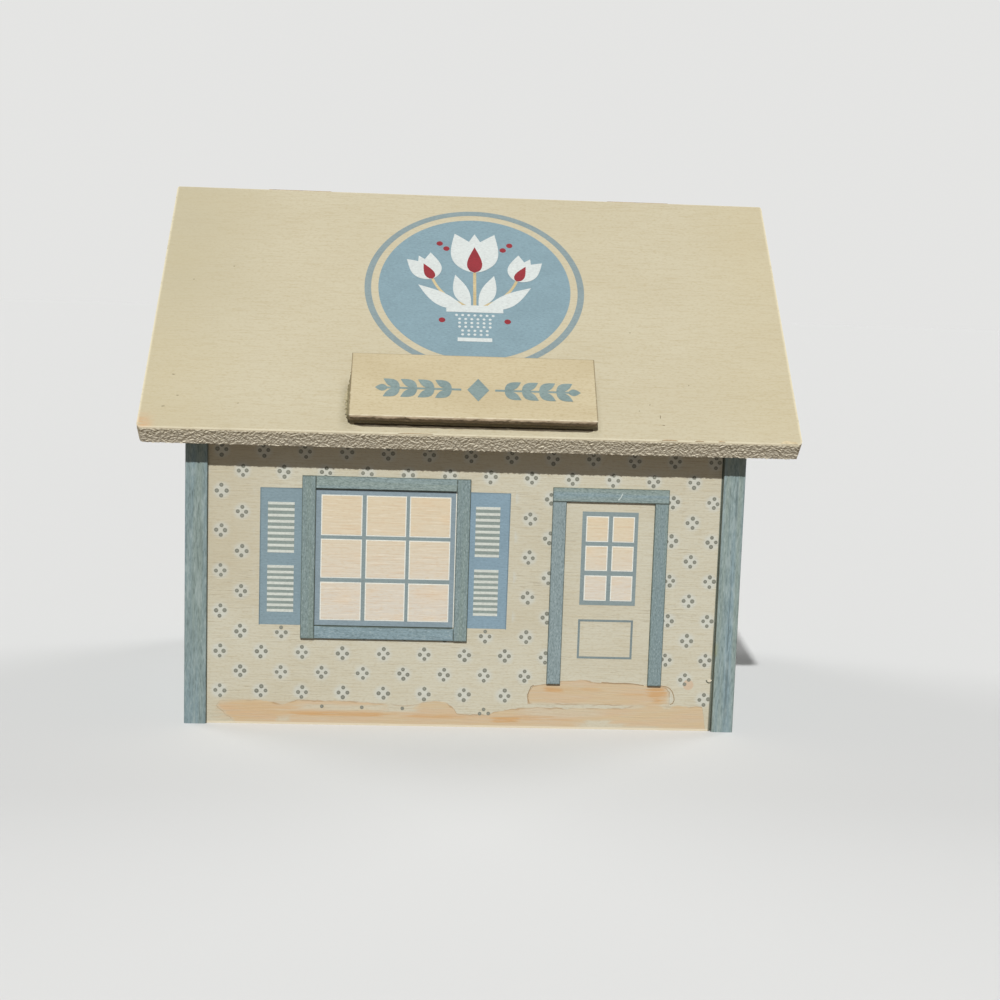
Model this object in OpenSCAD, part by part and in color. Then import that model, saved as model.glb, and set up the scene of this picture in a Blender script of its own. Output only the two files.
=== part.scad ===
// A house-shaped box for recipe cards. The front roof slope is its lid and lifts on two hinges
// behind the ridge. X runs across the front, Y from front to back and Z up.
// The origin is the middle of the base, on the surface that the box stands on.

/* [Body] */
// Width across the outer faces of the two side panels
body_w = 155; // [140:1:200]
// Depth of a side panel from its front edge to its back edge
body_d = 116; // [90:1:150]
// Height of a side panel's upright front and back edges
eave_h = 84.9; // [80:0.1:120]
// Thickness of the side panels
side_t = 6.2; // [5:0.1:10]
// Thickness of the front and back walls
wall_t = 6.2; // [5:0.1:10]
// Thickness of the floor
floor_t = 4; // [3:0.1:8]
// How far the front and back walls stand behind the side panels' edges
wall_inset = 1; // [0:0.1:3]
// Open joint between the front wall and the right side panel
wall_slack = 0.4; // [0:0.1:1]
// Worn rounding of the side panels' upright edges
side_edge_r = 0.5; // [0.2:0.1:1.5]

/* [Roof] */
// Thickness of the two roof boards
roof_t = 6.2; // [5:0.1:10]
// How far the eaves stand out past the side panels' edges, measured level
eave_overhang = 10.1; // [6:0.1:20]
// How far the roof boards stand out past the side panels' outer faces
gable_overhang = 12.2; // [4:0.1:25]
// How far the roof and its sign sit to the right of the body's middle
roof_shift = 0.75; // [-2:0.05:2]
// Worn rounding along the long edges of the roof boards
roof_edge_r = 0.6; // [0.2:0.1:2]
// Worn rounding of the roof boards' corners, seen square on
roof_corner_r = 1.4; // [0.5:0.1:5]
// Clearance under the closed lid
lid_clear = 0.2; // [0.1:0.05:0.5]
// Seam between the lid and the top end of the rear roof board
seam_gap = 0.2; // [0.1:0.05:0.5]

/* [Sign] */
// Width of the sign plaque
sign_w = 67; // [40:0.5:110]
// Height of the sign plaque, up the slope
sign_h = 22.9; // [14:0.1:40]
// Thickness of the sign plaque
sign_t = 2.2; // [1.5:0.1:5]
// Thickness of the cleat that holds the plaque off the lid
cleat_t = 1.7; // [1:0.1:4]
// How far the cleat's edges lie inside the plaque's edges
cleat_inset = 5; // [2:0.5:6]
// Distance of the plaque from the lid's lower edge
sign_rise = 2.9; // [1:0.1:20]
// Rounding of the plaque's face edges
sign_edge_r = 0.4; // [0.1:0.1:0.7]

/* [Window frame] */
// Distance of the window frame from the left side panel's inner face
window_side = 25.75; // [13:0.05:35]
// Height of the window frame's lower edge
window_rise = 24.85; // [10:0.05:36]
// Outer width of the window frame
window_w = 46.5; // [30:0.5:60]
// Outer height of the window frame
window_h = 45.7; // [30:0.1:46]
// Width of the window frame's upright strips
window_jamb_w = 3.8; // [2:0.1:6]
// Width of the window frame's level strips
window_rail_w = 3.5; // [2:0.1:6]

/* [Door casing] */
// Distance of the door casing from the right side panel's inner face
door_side = 14.9; // [5:0.05:28]
// Height of the door casing's lower ends
door_rise = 13.1; // [0:0.1:20]
// Outer width of the door casing
door_w = 32.6; // [22:0.1:36]
// Outer height of the door casing
door_h = 55.9; // [40:0.1:60]
// Width of the door casing's strips
casing_w = 3.9; // [2:0.1:6]

/* [Trim strips] */
// Thickness of the window and door strips
trim_t = 0.8; // [0.6:0.1:2.5]
// Rounding of the strips' face edges
trim_edge_r = 0.25; // [0.1:0.05:0.5]

/* [Hinges] */
// Distance from the box's middle to the middle of each hinge
hinge_x = 52; // [25:1:58]
// Length of each hinge
hinge_l = 20; // [16:0.5:30]
// Width of a leaf, from the pin's axis to its free edge
leaf_w = 5.4; // [5:0.1:5.8]
// Thickness of the leaves
leaf_t = 0.8; // [0.5:0.05:1]
// Rounding of the leaves' free corners
leaf_corner_r = 0.8; // [0.3:0.1:1.5]
// Outer radius of the knuckles
knuckle_r = 1.5; // [1.3:0.05:1.6]
// Height of the knuckles above the roof's surface
knuckle_lift = 0.1; // [0.05:0.05:0.3]
// Gap between neighbouring knuckles
knuckle_gap = 0.15; // [0.1:0.05:0.4]
// Radius of the hinge pin
pin_r = 0.7; // [0.5:0.05:0.9]
// Radial clearance of the pin in the lid leaf, which turns on it
pin_play = 0.05; // [0.02:0.01:0.1]
// Radial clearance of the pin in the roof leaf, which holds it
pin_fit = 0.02; // [0.01:0.01:0.05]
// Radius of the pin's spread ends
pin_head_r = 1.1; // [0.95:0.05:1.3]
// Thickness of the pin's spread ends
pin_head_t = 0.4; // [0.2:0.1:0.8]

/* [Hinge screws] */
// Distance between the two screws in a leaf
screw_pitch = 11; // [8:0.5:13]
// Radius of a screw's shank
screw_r = 0.75; // [0.5:0.05:0.9]
// Length of a screw from its head's top to its point
screw_l = 5.6; // [4:0.1:5.7]
// Radius of a screw's countersunk head
screw_head_r = 1.35; // [1.1:0.05:1.4]
// Thickness of a screw's countersunk head
screw_head_t = 0.7; // [0.4:0.05:0.7]
// Width of the driver slot in a screw's head
screw_slot_w = 0.4; // [0.3:0.1:0.6]
// Radial clearance of a screw in its leaf and its board
screw_fit = 0.04; // [0.02:0.01:0.1]

/* [Brads] */
// Radius of a brad's shank
brad_r = 0.6; // [0.4:0.05:0.8]
// Radius of a brad's head
brad_head_r = 1; // [0.9:0.05:1.3]
// Thickness of a brad's head
brad_head_t = 0.5; // [0.3:0.1:1]
// Length of a brad from its head's top to its point
brad_l = 16; // [12:0.5:20]
// Radial clearance of a brad in its hole
brad_fit = 0.04; // [0.02:0.01:0.1]
// Number of brads in each upright joint
wall_brads = 3; // [2:1:5]
// Number of brads along each side of the rear roof board
roof_brads = 3; // [2:1:5]
// Number of brads from each side panel into the floor
floor_brads = 2; // [1:1:4]

/* [Hidden] */
$fn = 48;
// Overshoot of a cutting tool past the face that it cuts
cut = 1;
left = -1;
right = 1;
front = -1;
back = 1;

cream = "#d1c8ab";
blue = "#8c9da2";
raw_wood = "#c9ad80";
sign_cream = "#d1c4a1";
brass = "#b5913c";

// The slopes meet at a right angle, so that the lid's square upper end laps the rear board and
// lies flush with its outer face.
pitch = 45;
ridge_z = eave_h + body_d / 2 * tan(pitch);
roof_w = body_w + 2 * gable_overhang;
// Length of a roof slope from the ridge line of the underside to the eave's square end
slope_l = (body_d / 2 + eave_overhang) / cos(pitch) - roof_t * tan(pitch);
// Clearance under the lid, measured upright
lid_drop = lid_clear / cos(pitch);

inner_w = body_w - 2 * side_t;
wall_face_y = body_d / 2 - wall_inset;
wall_middle_y = wall_face_y - wall_t / 2;
floor_d = 2 * (wall_face_y - wall_t);
side_middle_x = body_w / 2 - side_t / 2;

window_x = -inner_w / 2 + window_side;
door_x = inner_w / 2 - door_side - door_w;
window_inner_w = window_w - 2 * window_jamb_w;
door_jamb_h = door_h - casing_w;

knuckle_l = (hinge_l - 2 * knuckle_gap) / 3;
axis_z = knuckle_r + knuckle_lift;
screw_y = seam_gap / 2 + roof_t / 2;

// A rectangle with rounded corners, its lower left corner at the origin
module eased_rect(size, r) {
    translate([r, 0])
        square([size.x - 2 * r, size.y]);
    translate([0, r])
        square([size.x, size.y - 2 * r]);
    for (x = [r, size.x - r], y = [r, size.y - r])
        translate([x, y])
            circle(r);
}

// Extrudes an outline drawn in the Y and Z plane across the width w, about the box's middle
module across(w) {
    translate([-w / 2, 0, 0])
        rotate([90, 0, 90])
            linear_extrude(w)
                children();
}

// Local frame of the front slope: Y runs up the slope from the ridge line of the underside and Z
// points out of the roof
module front_slope() {
    translate([0, 0, ridge_z])
        rotate([pitch, 0, 0])
            children();
}

// Local frame of the rear slope: Y runs down the slope from the ridge line and Z points outward
module rear_slope() {
    translate([0, 0, ridge_z])
        rotate([-pitch, 0, 0])
            children();
}

// Local frame of one hinge: on the roof's outer face, under the pin's axis
module hinge_place(side) {
    rear_slope()
        translate([side * hinge_x, seam_gap / 2, roof_t])
            children();
}

// A roof board of slope length l, with worn long edges and corners
module roof_board(l) {
    translate([roof_shift, 0, 0])
        intersection() {
            across(roof_w)
                eased_rect([l, roof_t], roof_edge_r);
            translate([-roof_w / 2, 0, -cut])
                linear_extrude(roof_t + 2 * cut)
                    eased_rect([roof_w, l], roof_corner_r);
        }
}

// One brad along -Z, its head's top at the origin, widened by extra for its hole
module brad(extra = 0) {
    translate([0, 0, -brad_head_t])
        cylinder(r = brad_head_r + extra, h = brad_head_t + (extra > 0 ? cut : 0));
    translate([0, 0, brad_r - brad_l])
        cylinder(r = brad_r + extra, h = brad_l - brad_r - brad_head_t / 2);
    translate([0, 0, -brad_l - extra])
        cylinder(r1 = 0, r2 = brad_r + extra, h = brad_r + extra);
}

// Brads of one side panel, driven from its outer face into both walls and the floor
module side_brads(side, extra = 0) {
    for (end = [front, back], i = [1 : wall_brads])
        translate([side * body_w / 2, end * wall_middle_y, eave_h * (i - 0.5) / wall_brads])
            rotate([0, side * 90, 0])
                brad(extra);
    for (i = [1 : floor_brads])
        translate([side * body_w / 2, floor_d * ((i - 0.5) / floor_brads - 0.5), floor_t / 2])
            rotate([0, side * 90, 0])
                brad(extra);
}

// Brads of the rear roof board, driven into the edge of one side panel
module roof_edge_brads(side, extra = 0) {
    for (i = [1 : roof_brads])
        rear_slope()
            translate([side * side_middle_x, body_d / 2 / cos(pitch) * (i - 0.5) / roof_brads, roof_t])
                brad(extra);
}

// One hinge screw along -Z, its head's top at the origin, widened by extra for its hole
module screw(extra = 0) {
    translate([0, 0, -screw_head_t])
        cylinder(r1 = screw_r + extra, r2 = screw_head_r + extra, h = screw_head_t);
    translate([0, 0, screw_r - screw_l])
        cylinder(r = screw_r + extra, h = screw_l - screw_r - screw_head_t / 2);
    translate([0, 0, -screw_l - extra])
        cylinder(r1 = 0, r2 = screw_r + extra, h = screw_r + extra);
}

// Places both screws of one leaf; end is front for the lid leaf and back for the roof leaf
module screw_places(side, end) {
    for (x = [-screw_pitch / 2, screw_pitch / 2])
        hinge_place(side)
            translate([x, end * screw_y, leaf_t])
                children();
}

module leaf_screws(side, end) {
    color(brass)
        screw_places(side, end)
            difference() {
                screw();
                translate([-screw_head_r, -screw_slot_w / 2, -screw_head_t / 2])
                    cube([2 * screw_head_r, screw_slot_w, screw_head_t]);
            }
}

// One knuckle centred on x, of length l
module knuckle(x, l) {
    translate([x - l / 2, 0, axis_z])
        rotate([0, 90, 0])
            cylinder(r = knuckle_r, h = l);
}

// Middles of the knuckles that a leaf owns: one for the lid leaf and two for the roof leaf
function knuckle_places(end) =
    end == front ? [0] : [-(knuckle_l + knuckle_gap), knuckle_l + knuckle_gap];

// A leaf that lies at end of the pin's axis, with its knuckles and the holes for pin and screws
module hinge_leaf(side, end) {
    bore_r = pin_r + (end == front ? pin_play : pin_fit);
    color(brass)
        difference() {
            hinge_place(side)
                difference() {
                    union() {
                        difference() {
                            leaf_plate(end);
                            for (x = knuckle_places(-end))
                                leaf_notch(x);
                        }
                        for (x = knuckle_places(end))
                            knuckle(x, knuckle_l);
                    }
                    translate([-hinge_l / 2 - cut, 0, axis_z])
                        rotate([0, 90, 0])
                            cylinder(r = bore_r, h = hinge_l + 2 * cut);
                }
            screw_places(side, end)
                screw(screw_fit);
        }
}

// Flat plate of a leaf, from the pin's axis to its free edge, with rounded free corners
module leaf_plate(end) {
    scale([1, end, 1])
        intersection() {
            translate([-hinge_l / 2, -leaf_corner_r * 2, 0])
                linear_extrude(leaf_t)
                    eased_rect([hinge_l, leaf_w + leaf_corner_r * 2], leaf_corner_r);
            translate([-hinge_l / 2, 0, 0])
                cube([hinge_l, leaf_w, leaf_t]);
        }
}

// Room for the other leaf's knuckle
module leaf_notch(x) {
    notch_l = knuckle_l + 2 * knuckle_gap;
    notch_r = knuckle_r + knuckle_gap;
    translate([x - notch_l / 2, -notch_r, -cut])
        cube([notch_l, 2 * notch_r, axis_z + notch_r + cut]);
}

module hinge_pin(side) {
    color(brass)
        hinge_place(side)
            translate([0, 0, axis_z])
                rotate([0, 90, 0]) {
                    cylinder(r = pin_r, h = hinge_l, center = true);
                    for (end = [0, 1])
                        mirror([0, 0, end])
                            translate([0, 0, hinge_l / 2])
                                cylinder(r1 = pin_head_r, r2 = pin_r, h = pin_head_t);
                }
}

// Gable outline of a side panel; its front slope stands lower by the clearance under the lid
module gable_outline() {
    polygon([
        [-body_d / 2, 0],
        [body_d / 2, 0],
        [body_d / 2, eave_h],
        [lid_drop / 2 / tan(pitch), ridge_z - lid_drop / 2],
        [-body_d / 2, eave_h - lid_drop]
    ]);
}

module side_panel(side) {
    color(blue)
        difference() {
            intersection() {
                translate([side * side_middle_x, 0, 0])
                    across(side_t)
                        gable_outline();
                translate([side * side_middle_x - side_t / 2, -body_d / 2, -cut])
                    linear_extrude(ridge_z + 2 * cut)
                        eased_rect([side_t, body_d], side_edge_r);
            }
            side_brads(side, brad_fit);
            roof_edge_brads(side, brad_fit);
        }
}

// Wall outline in the Y and Z plane, its top bevelled to the roof's pitch and lowered by drop
module wall_outline(end, drop) {
    face_z = eave_h + wall_inset * tan(pitch) - drop;
    polygon([
        [end * wall_face_y, 0],
        [end * (wall_face_y - wall_t), 0],
        [end * (wall_face_y - wall_t), face_z + wall_t * tan(pitch)],
        [end * wall_face_y, face_z]
    ]);
}

module front_wall() {
    color(cream)
        difference() {
            translate([-wall_slack / 2, 0, 0])
                across(inner_w - wall_slack)
                    wall_outline(front, lid_drop);
            for (side = [left, right])
                side_brads(side, brad_fit);
        }
}

module back_wall() {
    color(cream)
        difference() {
            across(inner_w)
                wall_outline(back, 0);
            for (side = [left, right])
                side_brads(side, brad_fit);
        }
}

module box_floor() {
    color(raw_wood)
        difference() {
            translate([-inner_w / 2, -floor_d / 2, 0])
                cube([inner_w, floor_d, floor_t]);
            for (side = [left, right])
                side_brads(side, brad_fit);
        }
}

module rear_roof() {
    color(cream)
        difference() {
            rear_slope()
                translate([0, seam_gap, 0])
                    roof_board(slope_l - seam_gap);
            for (side = [left, right]) {
                roof_edge_brads(side, brad_fit);
                screw_places(side, back)
                    screw(screw_fit);
            }
        }
}

module lid_panel() {
    color(cream)
        difference() {
            front_slope()
                translate([0, -slope_l, 0])
                    roof_board(slope_l + roof_t);
            for (side = [left, right])
                screw_places(side, front)
                    screw(screw_fit);
        }
}

// Places its children on the lid's outer face, at the middle of the plaque's lower edge
module sign_place() {
    front_slope()
        translate([roof_shift, -slope_l + sign_rise, roof_t])
            children();
}

module sign_cleat() {
    color(raw_wood)
        sign_place()
            translate([-sign_w / 2 + cleat_inset, cleat_inset, 0])
                cube([sign_w - 2 * cleat_inset, sign_h - 2 * cleat_inset, cleat_t]);
}

module sign_plaque() {
    color(sign_cream)
        sign_place()
            translate([0, 0, cleat_t])
                intersection() {
                    across(sign_w)
                        eased_rect([sign_h, sign_t], sign_edge_r);
                    translate([-sign_w / 2, 0, -cut])
                        linear_extrude(sign_t + 2 * cut)
                            eased_rect([sign_w, sign_h], sign_edge_r);
                }
}

// A flat strip on the front wall's face, w wide and h high, its lower left corner at x and z
module trim_strip(x, z, w, h) {
    color(blue)
        translate([x, -wall_face_y, z])
            rotate([90, 0, 0])
                intersection() {
                    linear_extrude(trim_t)
                        square([w, h]);
                    // The long edges of the face are eased, whichever way the strip runs
                    if (h > w)
                        translate([0, h + cut, 0])
                            rotate([90, 0, 0])
                                linear_extrude(h + 2 * cut)
                                    eased_face(w);
                    else
                        translate([-cut, 0, 0])
                            rotate([90, 0, 90])
                                linear_extrude(w + 2 * cut)
                                    eased_face(h);
                }
}

// Cross-section of a strip of width w with eased face edges and a square back
module eased_face(w) {
    translate([0, -trim_t])
        intersection() {
            eased_rect([w, 2 * trim_t], trim_edge_r);
            translate([0, trim_t])
                square([w, trim_t]);
        }
}

module window_jamb(side) {
    inward = side == left ? 0 : window_w - window_jamb_w;
    trim_strip(window_x + inward, window_rise, window_jamb_w, window_h);
}

module window_rail(z) {
    trim_strip(window_x + window_jamb_w, z, window_inner_w, window_rail_w);
}

module door_head() {
    trim_strip(door_x, door_rise + door_jamb_h, door_w, casing_w);
}

module door_jamb(side) {
    inward = side == left ? 0 : door_w - casing_w;
    trim_strip(door_x + inward, door_rise, casing_w, door_jamb_h);
}

module painted_brads(side) {
    color(blue)
        side_brads(side);
}

module rear_roof_brads() {
    color(cream)
        for (side = [left, right])
            roof_edge_brads(side);
}

front_wall();
back_wall();
side_panel(left);  // left_side
side_panel(right);  // right_side
box_floor();  // floor
rear_roof();
lid_panel();
sign_plaque();
sign_cleat();
window_rail(window_rise + window_h - window_rail_w);  // window_head
window_rail(window_rise);  // window_sill
window_jamb(left);  // window_left_jamb
window_jamb(right);  // window_right_jamb
door_head();
door_jamb(left);  // door_left_jamb
door_jamb(right);  // door_right_jamb
hinge_leaf(left, back);  // left_hinge_roof_leaf
hinge_leaf(left, front);  // left_hinge_lid_leaf
hinge_pin(left);  // left_hinge_pin
leaf_screws(left, back);  // left_hinge_roof_screws
leaf_screws(left, front);  // left_hinge_lid_screws
hinge_leaf(right, back);  // right_hinge_roof_leaf
hinge_leaf(right, front);  // right_hinge_lid_leaf
hinge_pin(right);  // right_hinge_pin
leaf_screws(right, back);  // right_hinge_roof_screws
leaf_screws(right, front);  // right_hinge_lid_screws
painted_brads(left);  // left_side_brads
painted_brads(right);  // right_side_brads
rear_roof_brads();
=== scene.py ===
import math
import random

import bmesh
import bpy
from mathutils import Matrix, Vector, noise


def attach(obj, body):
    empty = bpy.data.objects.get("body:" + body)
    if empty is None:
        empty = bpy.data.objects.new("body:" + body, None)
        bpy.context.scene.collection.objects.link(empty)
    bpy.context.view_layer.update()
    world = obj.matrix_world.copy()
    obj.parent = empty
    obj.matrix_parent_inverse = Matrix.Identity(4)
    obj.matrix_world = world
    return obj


# A house-shaped recipe card box. X runs across the front, Y to the back and Z up, in metres.
# Sizes below are in millimetres, and s is a place up a roof's slope. Prints are thin skins of paint
# on the boards, a few of them painted shade and shadow, and paint, grain, wear and some painted light and shade are
# procedural.

MM = 0.001

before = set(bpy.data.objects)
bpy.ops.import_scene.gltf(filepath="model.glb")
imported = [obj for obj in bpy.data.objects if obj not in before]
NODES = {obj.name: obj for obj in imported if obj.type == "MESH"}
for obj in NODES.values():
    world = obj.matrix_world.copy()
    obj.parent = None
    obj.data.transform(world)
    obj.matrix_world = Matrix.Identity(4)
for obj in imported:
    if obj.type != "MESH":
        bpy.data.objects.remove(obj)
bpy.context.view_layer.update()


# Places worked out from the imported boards

PITCH = math.radians(45)
ACROSS = Vector((1, 0, 0))
BACK = Vector((0, 1, 0))
UP = Vector((0, 0, 1))
UP_SLOPE = Vector((0, math.cos(PITCH), math.sin(PITCH)))
LID_OUT = Vector((0, -math.sin(PITCH), math.cos(PITCH)))
DOWN_REAR = Vector((0, math.cos(PITCH), -math.sin(PITCH)))
REAR_OUT = Vector((0, math.sin(PITCH), math.cos(PITCH)))


def reach(node, direction):
    """How far a node reaches along a direction, as its lowest and highest values."""
    values = [v.co.dot(direction) / MM for v in NODES[node].data.vertices]
    return min(values), max(values)


FACE_Y = reach("front_wall", BACK)[0]
LID_LOW, LID_HIGH = reach("lid_panel", UP_SLOPE)
LID_FACE = reach("lid_panel", LID_OUT)[1]
LID_LEFT, LID_RIGHT = reach("lid_panel", ACROSS)
WALL_RIGHT = reach("front_wall", ACROSS)[1]
TRIM_FACE_Y = reach("door_head", BACK)[0]
SIGN_FACE = reach("sign_plaque", LID_OUT)[1]
SIGN_LEFT, SIGN_RIGHT = reach("sign_plaque", ACROSS)
SIGN_LOW, SIGN_HIGH = reach("sign_plaque", UP_SLOPE)
SIGN_BACK = reach("sign_plaque", LID_OUT)[0]
REAR_TOP, REAR_END = reach("rear_roof", DOWN_REAR)
REAR_FACE = reach("rear_roof", REAR_OUT)[1]
BOARD_T = 6.2
# Further off than any part of the box
FAR = 400


# Fields and nodes


class Field:
    """A value that changes over a surface. It takes part in sums as a number does."""

    def __init__(self, socket):
        self.socket = socket

    def __add__(self, other):
        return calculate("ADD", self, other)

    def __sub__(self, other):
        return calculate("SUBTRACT", self, other)

    def __rsub__(self, other):
        return calculate("SUBTRACT", other, self)

    def __mul__(self, other):
        return calculate("MULTIPLY", self, other)

    def __truediv__(self, other):
        return calculate("DIVIDE", self, other)

    def __abs__(self):
        return calculate("ABSOLUTE", self)

    def scaled(self, factor, shift):
        return calculate("MULTIPLY_ADD", self, factor, shift)


def put(socket, value):
    if isinstance(value, Field):
        socket.id_data.links.new(value.socket, socket)
    else:
        socket.default_value = value


def new_node(kind, *values):
    """A node in the material that the first field among some values belongs to."""
    tree = next(value.socket.id_data for value in values if isinstance(value, Field))
    return tree.nodes.new("ShaderNode" + kind)


def calculate(operation, *values):
    node = new_node("Math", *values)
    node.operation = operation
    for socket, value in zip(node.inputs, values):
        put(socket, value)
    return Field(node.outputs[0])


def highest(*values):
    return calculate("MAXIMUM", *values)


def lowest(*values):
    return calculate("MINIMUM", *values)


def length_of(dx, dz):
    return calculate("SQRT", dx.scaled(dx, dz * dz))


def dot(field, direction):
    node = new_node("VectorMath", field)
    node.operation = "DOT_PRODUCT"
    put(node.inputs[0], field)
    put(node.inputs[1], tuple(direction))
    return Field(node.outputs["Value"])


def blotches(axes, sizes, seed, detail=2.0):
    """Clouds from 0 to 1 whose blotches are about as large as sizes along two or three axes."""
    node = new_node("TexNoise", *axes)
    node.inputs["Scale"].default_value = 1.0
    node.inputs["Detail"].default_value = detail
    place = new_node("CombineXYZ", *axes)
    place.inputs["Z"].default_value = seed
    for socket, axis, size in zip(place.inputs, axes, sizes):
        put(socket, axis.scaled(1 / size, seed))
    put(node.inputs["Vector"], Field(place.outputs[0]))
    return Field(node.outputs["Fac"])


def fade(value, start, end):
    """Goes smoothly from 0 at start to 1 at end."""
    node = new_node("MapRange", value)
    node.interpolation_type = "SMOOTHSTEP"
    put(node.inputs["Value"], value)
    put(node.inputs["From Min"], start)
    put(node.inputs["From Max"], end)
    return Field(node.outputs["Result"])


def band(value, low, high, soft):
    """1 between low and high, with soft borders."""
    return fade(value, low - soft, low + soft) * fade(value, high + soft, high - soft)


def rim(value, low, high, width):
    """1 at the low and high ends of a board and 0 further in than width."""
    return fade(lowest(value - low, high - value), width, 0.0)


def profile(value, low, high, top, points):
    """A smooth height over a run from low to high, drawn through points."""
    node = new_node("ValToRGB", value)
    node.color_ramp.interpolation = "EASE"
    stops = node.color_ramp.elements
    while len(stops) < len(points):
        stops.new(0.5)
    for stop, (at, height) in zip(stops, points):
        stop.position = (at - low) / (high - low)
    for stop, (at, height) in zip(stops, points):
        stop.color = (height / top, height / top, height / top, 1)
    put(node.inputs["Fac"], (value - low) / (high - low))
    return Field(node.outputs["Color"]) * top


def mix(share, first, second):
    """Two colours, with that share of the second."""
    node = new_node("Mix", share)
    node.data_type = "RGBA"
    put(node.inputs["Factor"], share)
    put(node.inputs["A"], first)
    put(node.inputs["B"], second)
    return Field(node.outputs["Result"])


def mix_finishes(share, first, second):
    """Two finishes, each a colour and a height, with that share of the second."""
    node = new_node("Mix", share)
    for socket, value in zip((node.inputs[0], node.inputs[2], node.inputs[3]), (share, first[1], second[1])):
        put(socket, value)
    return mix(share, first[0], second[0]), Field(node.outputs[0])


class Surface:
    """A procedural material. Its places are the part's own, so they stay put as the lid turns."""

    def __init__(self, name):
        self.material = bpy.data.materials.new(name)
        self.material.use_nodes = True
        self.tree = self.material.node_tree
        where = self.tree.nodes.new("ShaderNodeTexCoord")
        self.place = Field(where.outputs["Object"])
        self.normal = Field(where.outputs["Normal"])

    def along(self, direction, start=0.0):
        """How far a point lies along a direction past start, in millimetres."""
        return dot(self.place, direction / MM) - start

    def axes(self, *directions):
        return [self.along(direction) for direction in directions]

    def facing(self, direction, least=0.6):
        """1 on faces that look along a direction."""
        return fade(dot(self.normal, direction), least, least + 0.2)

    def ends(self):
        """1 on faces that look to the left or the right."""
        return highest(self.facing(ACROSS, 0.7), self.facing(-ACROSS, 0.7))

    def finish(self, colour, height, roughness=0.6, depth=0.06, specular=0.35, metal=0.0):
        """Puts the colour and a bump of that depth in millimetres on the surface."""
        shader = self.tree.nodes["Principled BSDF"]
        put(shader.inputs["Base Color"], colour)
        put(shader.inputs["Roughness"], roughness)
        shader.inputs["Specular IOR Level"].default_value = specular
        shader.inputs["Metallic"].default_value = metal
        bump = self.tree.nodes.new("ShaderNodeBump")
        bump.inputs["Strength"].default_value = 1.0
        bump.inputs["Distance"].default_value = depth * MM
        put(bump.inputs["Height"], height)
        put(shader.inputs["Normal"], Field(bump.outputs["Normal"]))
        return self.material


# Colours


def rgb(red, green, blue):
    """A display colour from 0 to 255 as a linear colour."""
    parts = [c / 255 for c in (red, green, blue)]
    return tuple(p / 12.92 if p < 0.04045 else ((p + 0.055) / 1.055) ** 2.4 for p in parts) + (1.0,)


def shade(colour, factor):
    return tuple(c * factor for c in colour[:3]) + (1.0,)


WALL_CREAM = rgb(204, 200, 180)
WALL_GRAIN = rgb(184, 172, 142)
WALL_FOOT = rgb(224, 214, 188)
# Painted shade: the open joint beside the right panel, the panels' slivers there, and under a paint flake
PAINTED_SHADE = rgb(90, 92, 78)
LID_CREAM = rgb(192, 184, 158)
LID_GRAIN = rgb(172, 158, 124)
LID_END = rgb(190, 174, 130)
LID_NICK = rgb(128, 104, 72)
# Paler edges: worn paint, and in part a painted highlight
LID_WORN_AND_HIGHLIGHT = rgb(226, 218, 190)
LID_DUSK = rgb(172, 166, 142)
# Painted shade on the lid beside the sign
SIGN_SIDE_SHADE = rgb(146, 138, 112)
SIGN_CREAM = rgb(194, 182, 150)
SIGN_GRAIN = rgb(166, 148, 110)
SIGN_EDGE = rgb(104, 88, 60)
SIGN_CHIPPED = rgb(226, 217, 192)
GRAIN_DASH = rgb(138, 118, 88)
PEACH_STAIN = rgb(196, 152, 108)
WASH = rgb(203, 181, 145)
WASH_DEEP = rgb(200, 158, 108)
WASH_PINK = rgb(204, 177, 148)
WASH_LINE = rgb(164, 130, 92)
HALO = rgb(204, 213, 212)
DOT_BLUE = rgb(134, 135, 122)
DOT_HEART = rgb(144, 145, 133)
SHUTTER_BLUES = {"left": rgb(131, 152, 160), "right": rgb(133, 158, 172)}
WINDOW_BLUE = rgb(136, 151, 152)
FRAME_BLUE = rgb(137, 154, 162)
LOUVRE_SHADE = rgb(140, 152, 146)
LOUVRE_CREAM = rgb(209, 214, 205)
PANE_TOP = rgb(217, 203, 175)
PANE_LOW = rgb(214, 207, 193)
PANE_EDGE = rgb(231, 232, 222)
PANE_BLUSH = rgb(226, 200, 164)
PANE_FIBRE = rgb(204, 170, 132)
PANE_LIGHT = rgb(232, 222, 202)
PANE_SPECK = rgb(208, 186, 152)
FIELD_BLUE = rgb(126, 151, 160)
RING_BLUE = rgb(130, 146, 148)
MOTIF_WHITE = rgb(203, 209, 206)
MOTIF_RED = rgb(138, 38, 46)
POST_BLUE = rgb(136, 158, 165)
POST_GREEN = rgb(143, 158, 151)
TRIM_BLUE = rgb(136, 158, 166)
TRIM_GREEN = rgb(134, 151, 146)
TRIM_DUSK = rgb(131, 149, 151)
TRIM_MOSS = rgb(130, 146, 140)
TRIM_EVEN = rgb(141, 157, 159)
BLUE_DEEP = rgb(84, 99, 98)
BLUE_PALE = rgb(176, 190, 188)
TRIM_DARK = rgb(66, 74, 62)
OLIVE = rgb(134, 136, 88)
# Cream paint on the roof boards' sawn fibres, paler than the roof's paint: partly painted light on ends that face
# away from the key lamp
FIBRE_TONES_PAINTED_LIGHT = (rgb(180, 168, 142), rgb(216, 207, 182), rgb(232, 224, 202))
# Darker fibres for the sign's frayed left end: painted shade
FRAY_TONES_PAINTED_SHADE = (rgb(128, 120, 92), rgb(152, 143, 112), rgb(176, 167, 136))
SIGN_FIBRE = rgb(134, 120, 98)
SIGN_FIBRE_DARK = rgb(104, 92, 74)
TORN_TOP = rgb(124, 110, 88)
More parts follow.
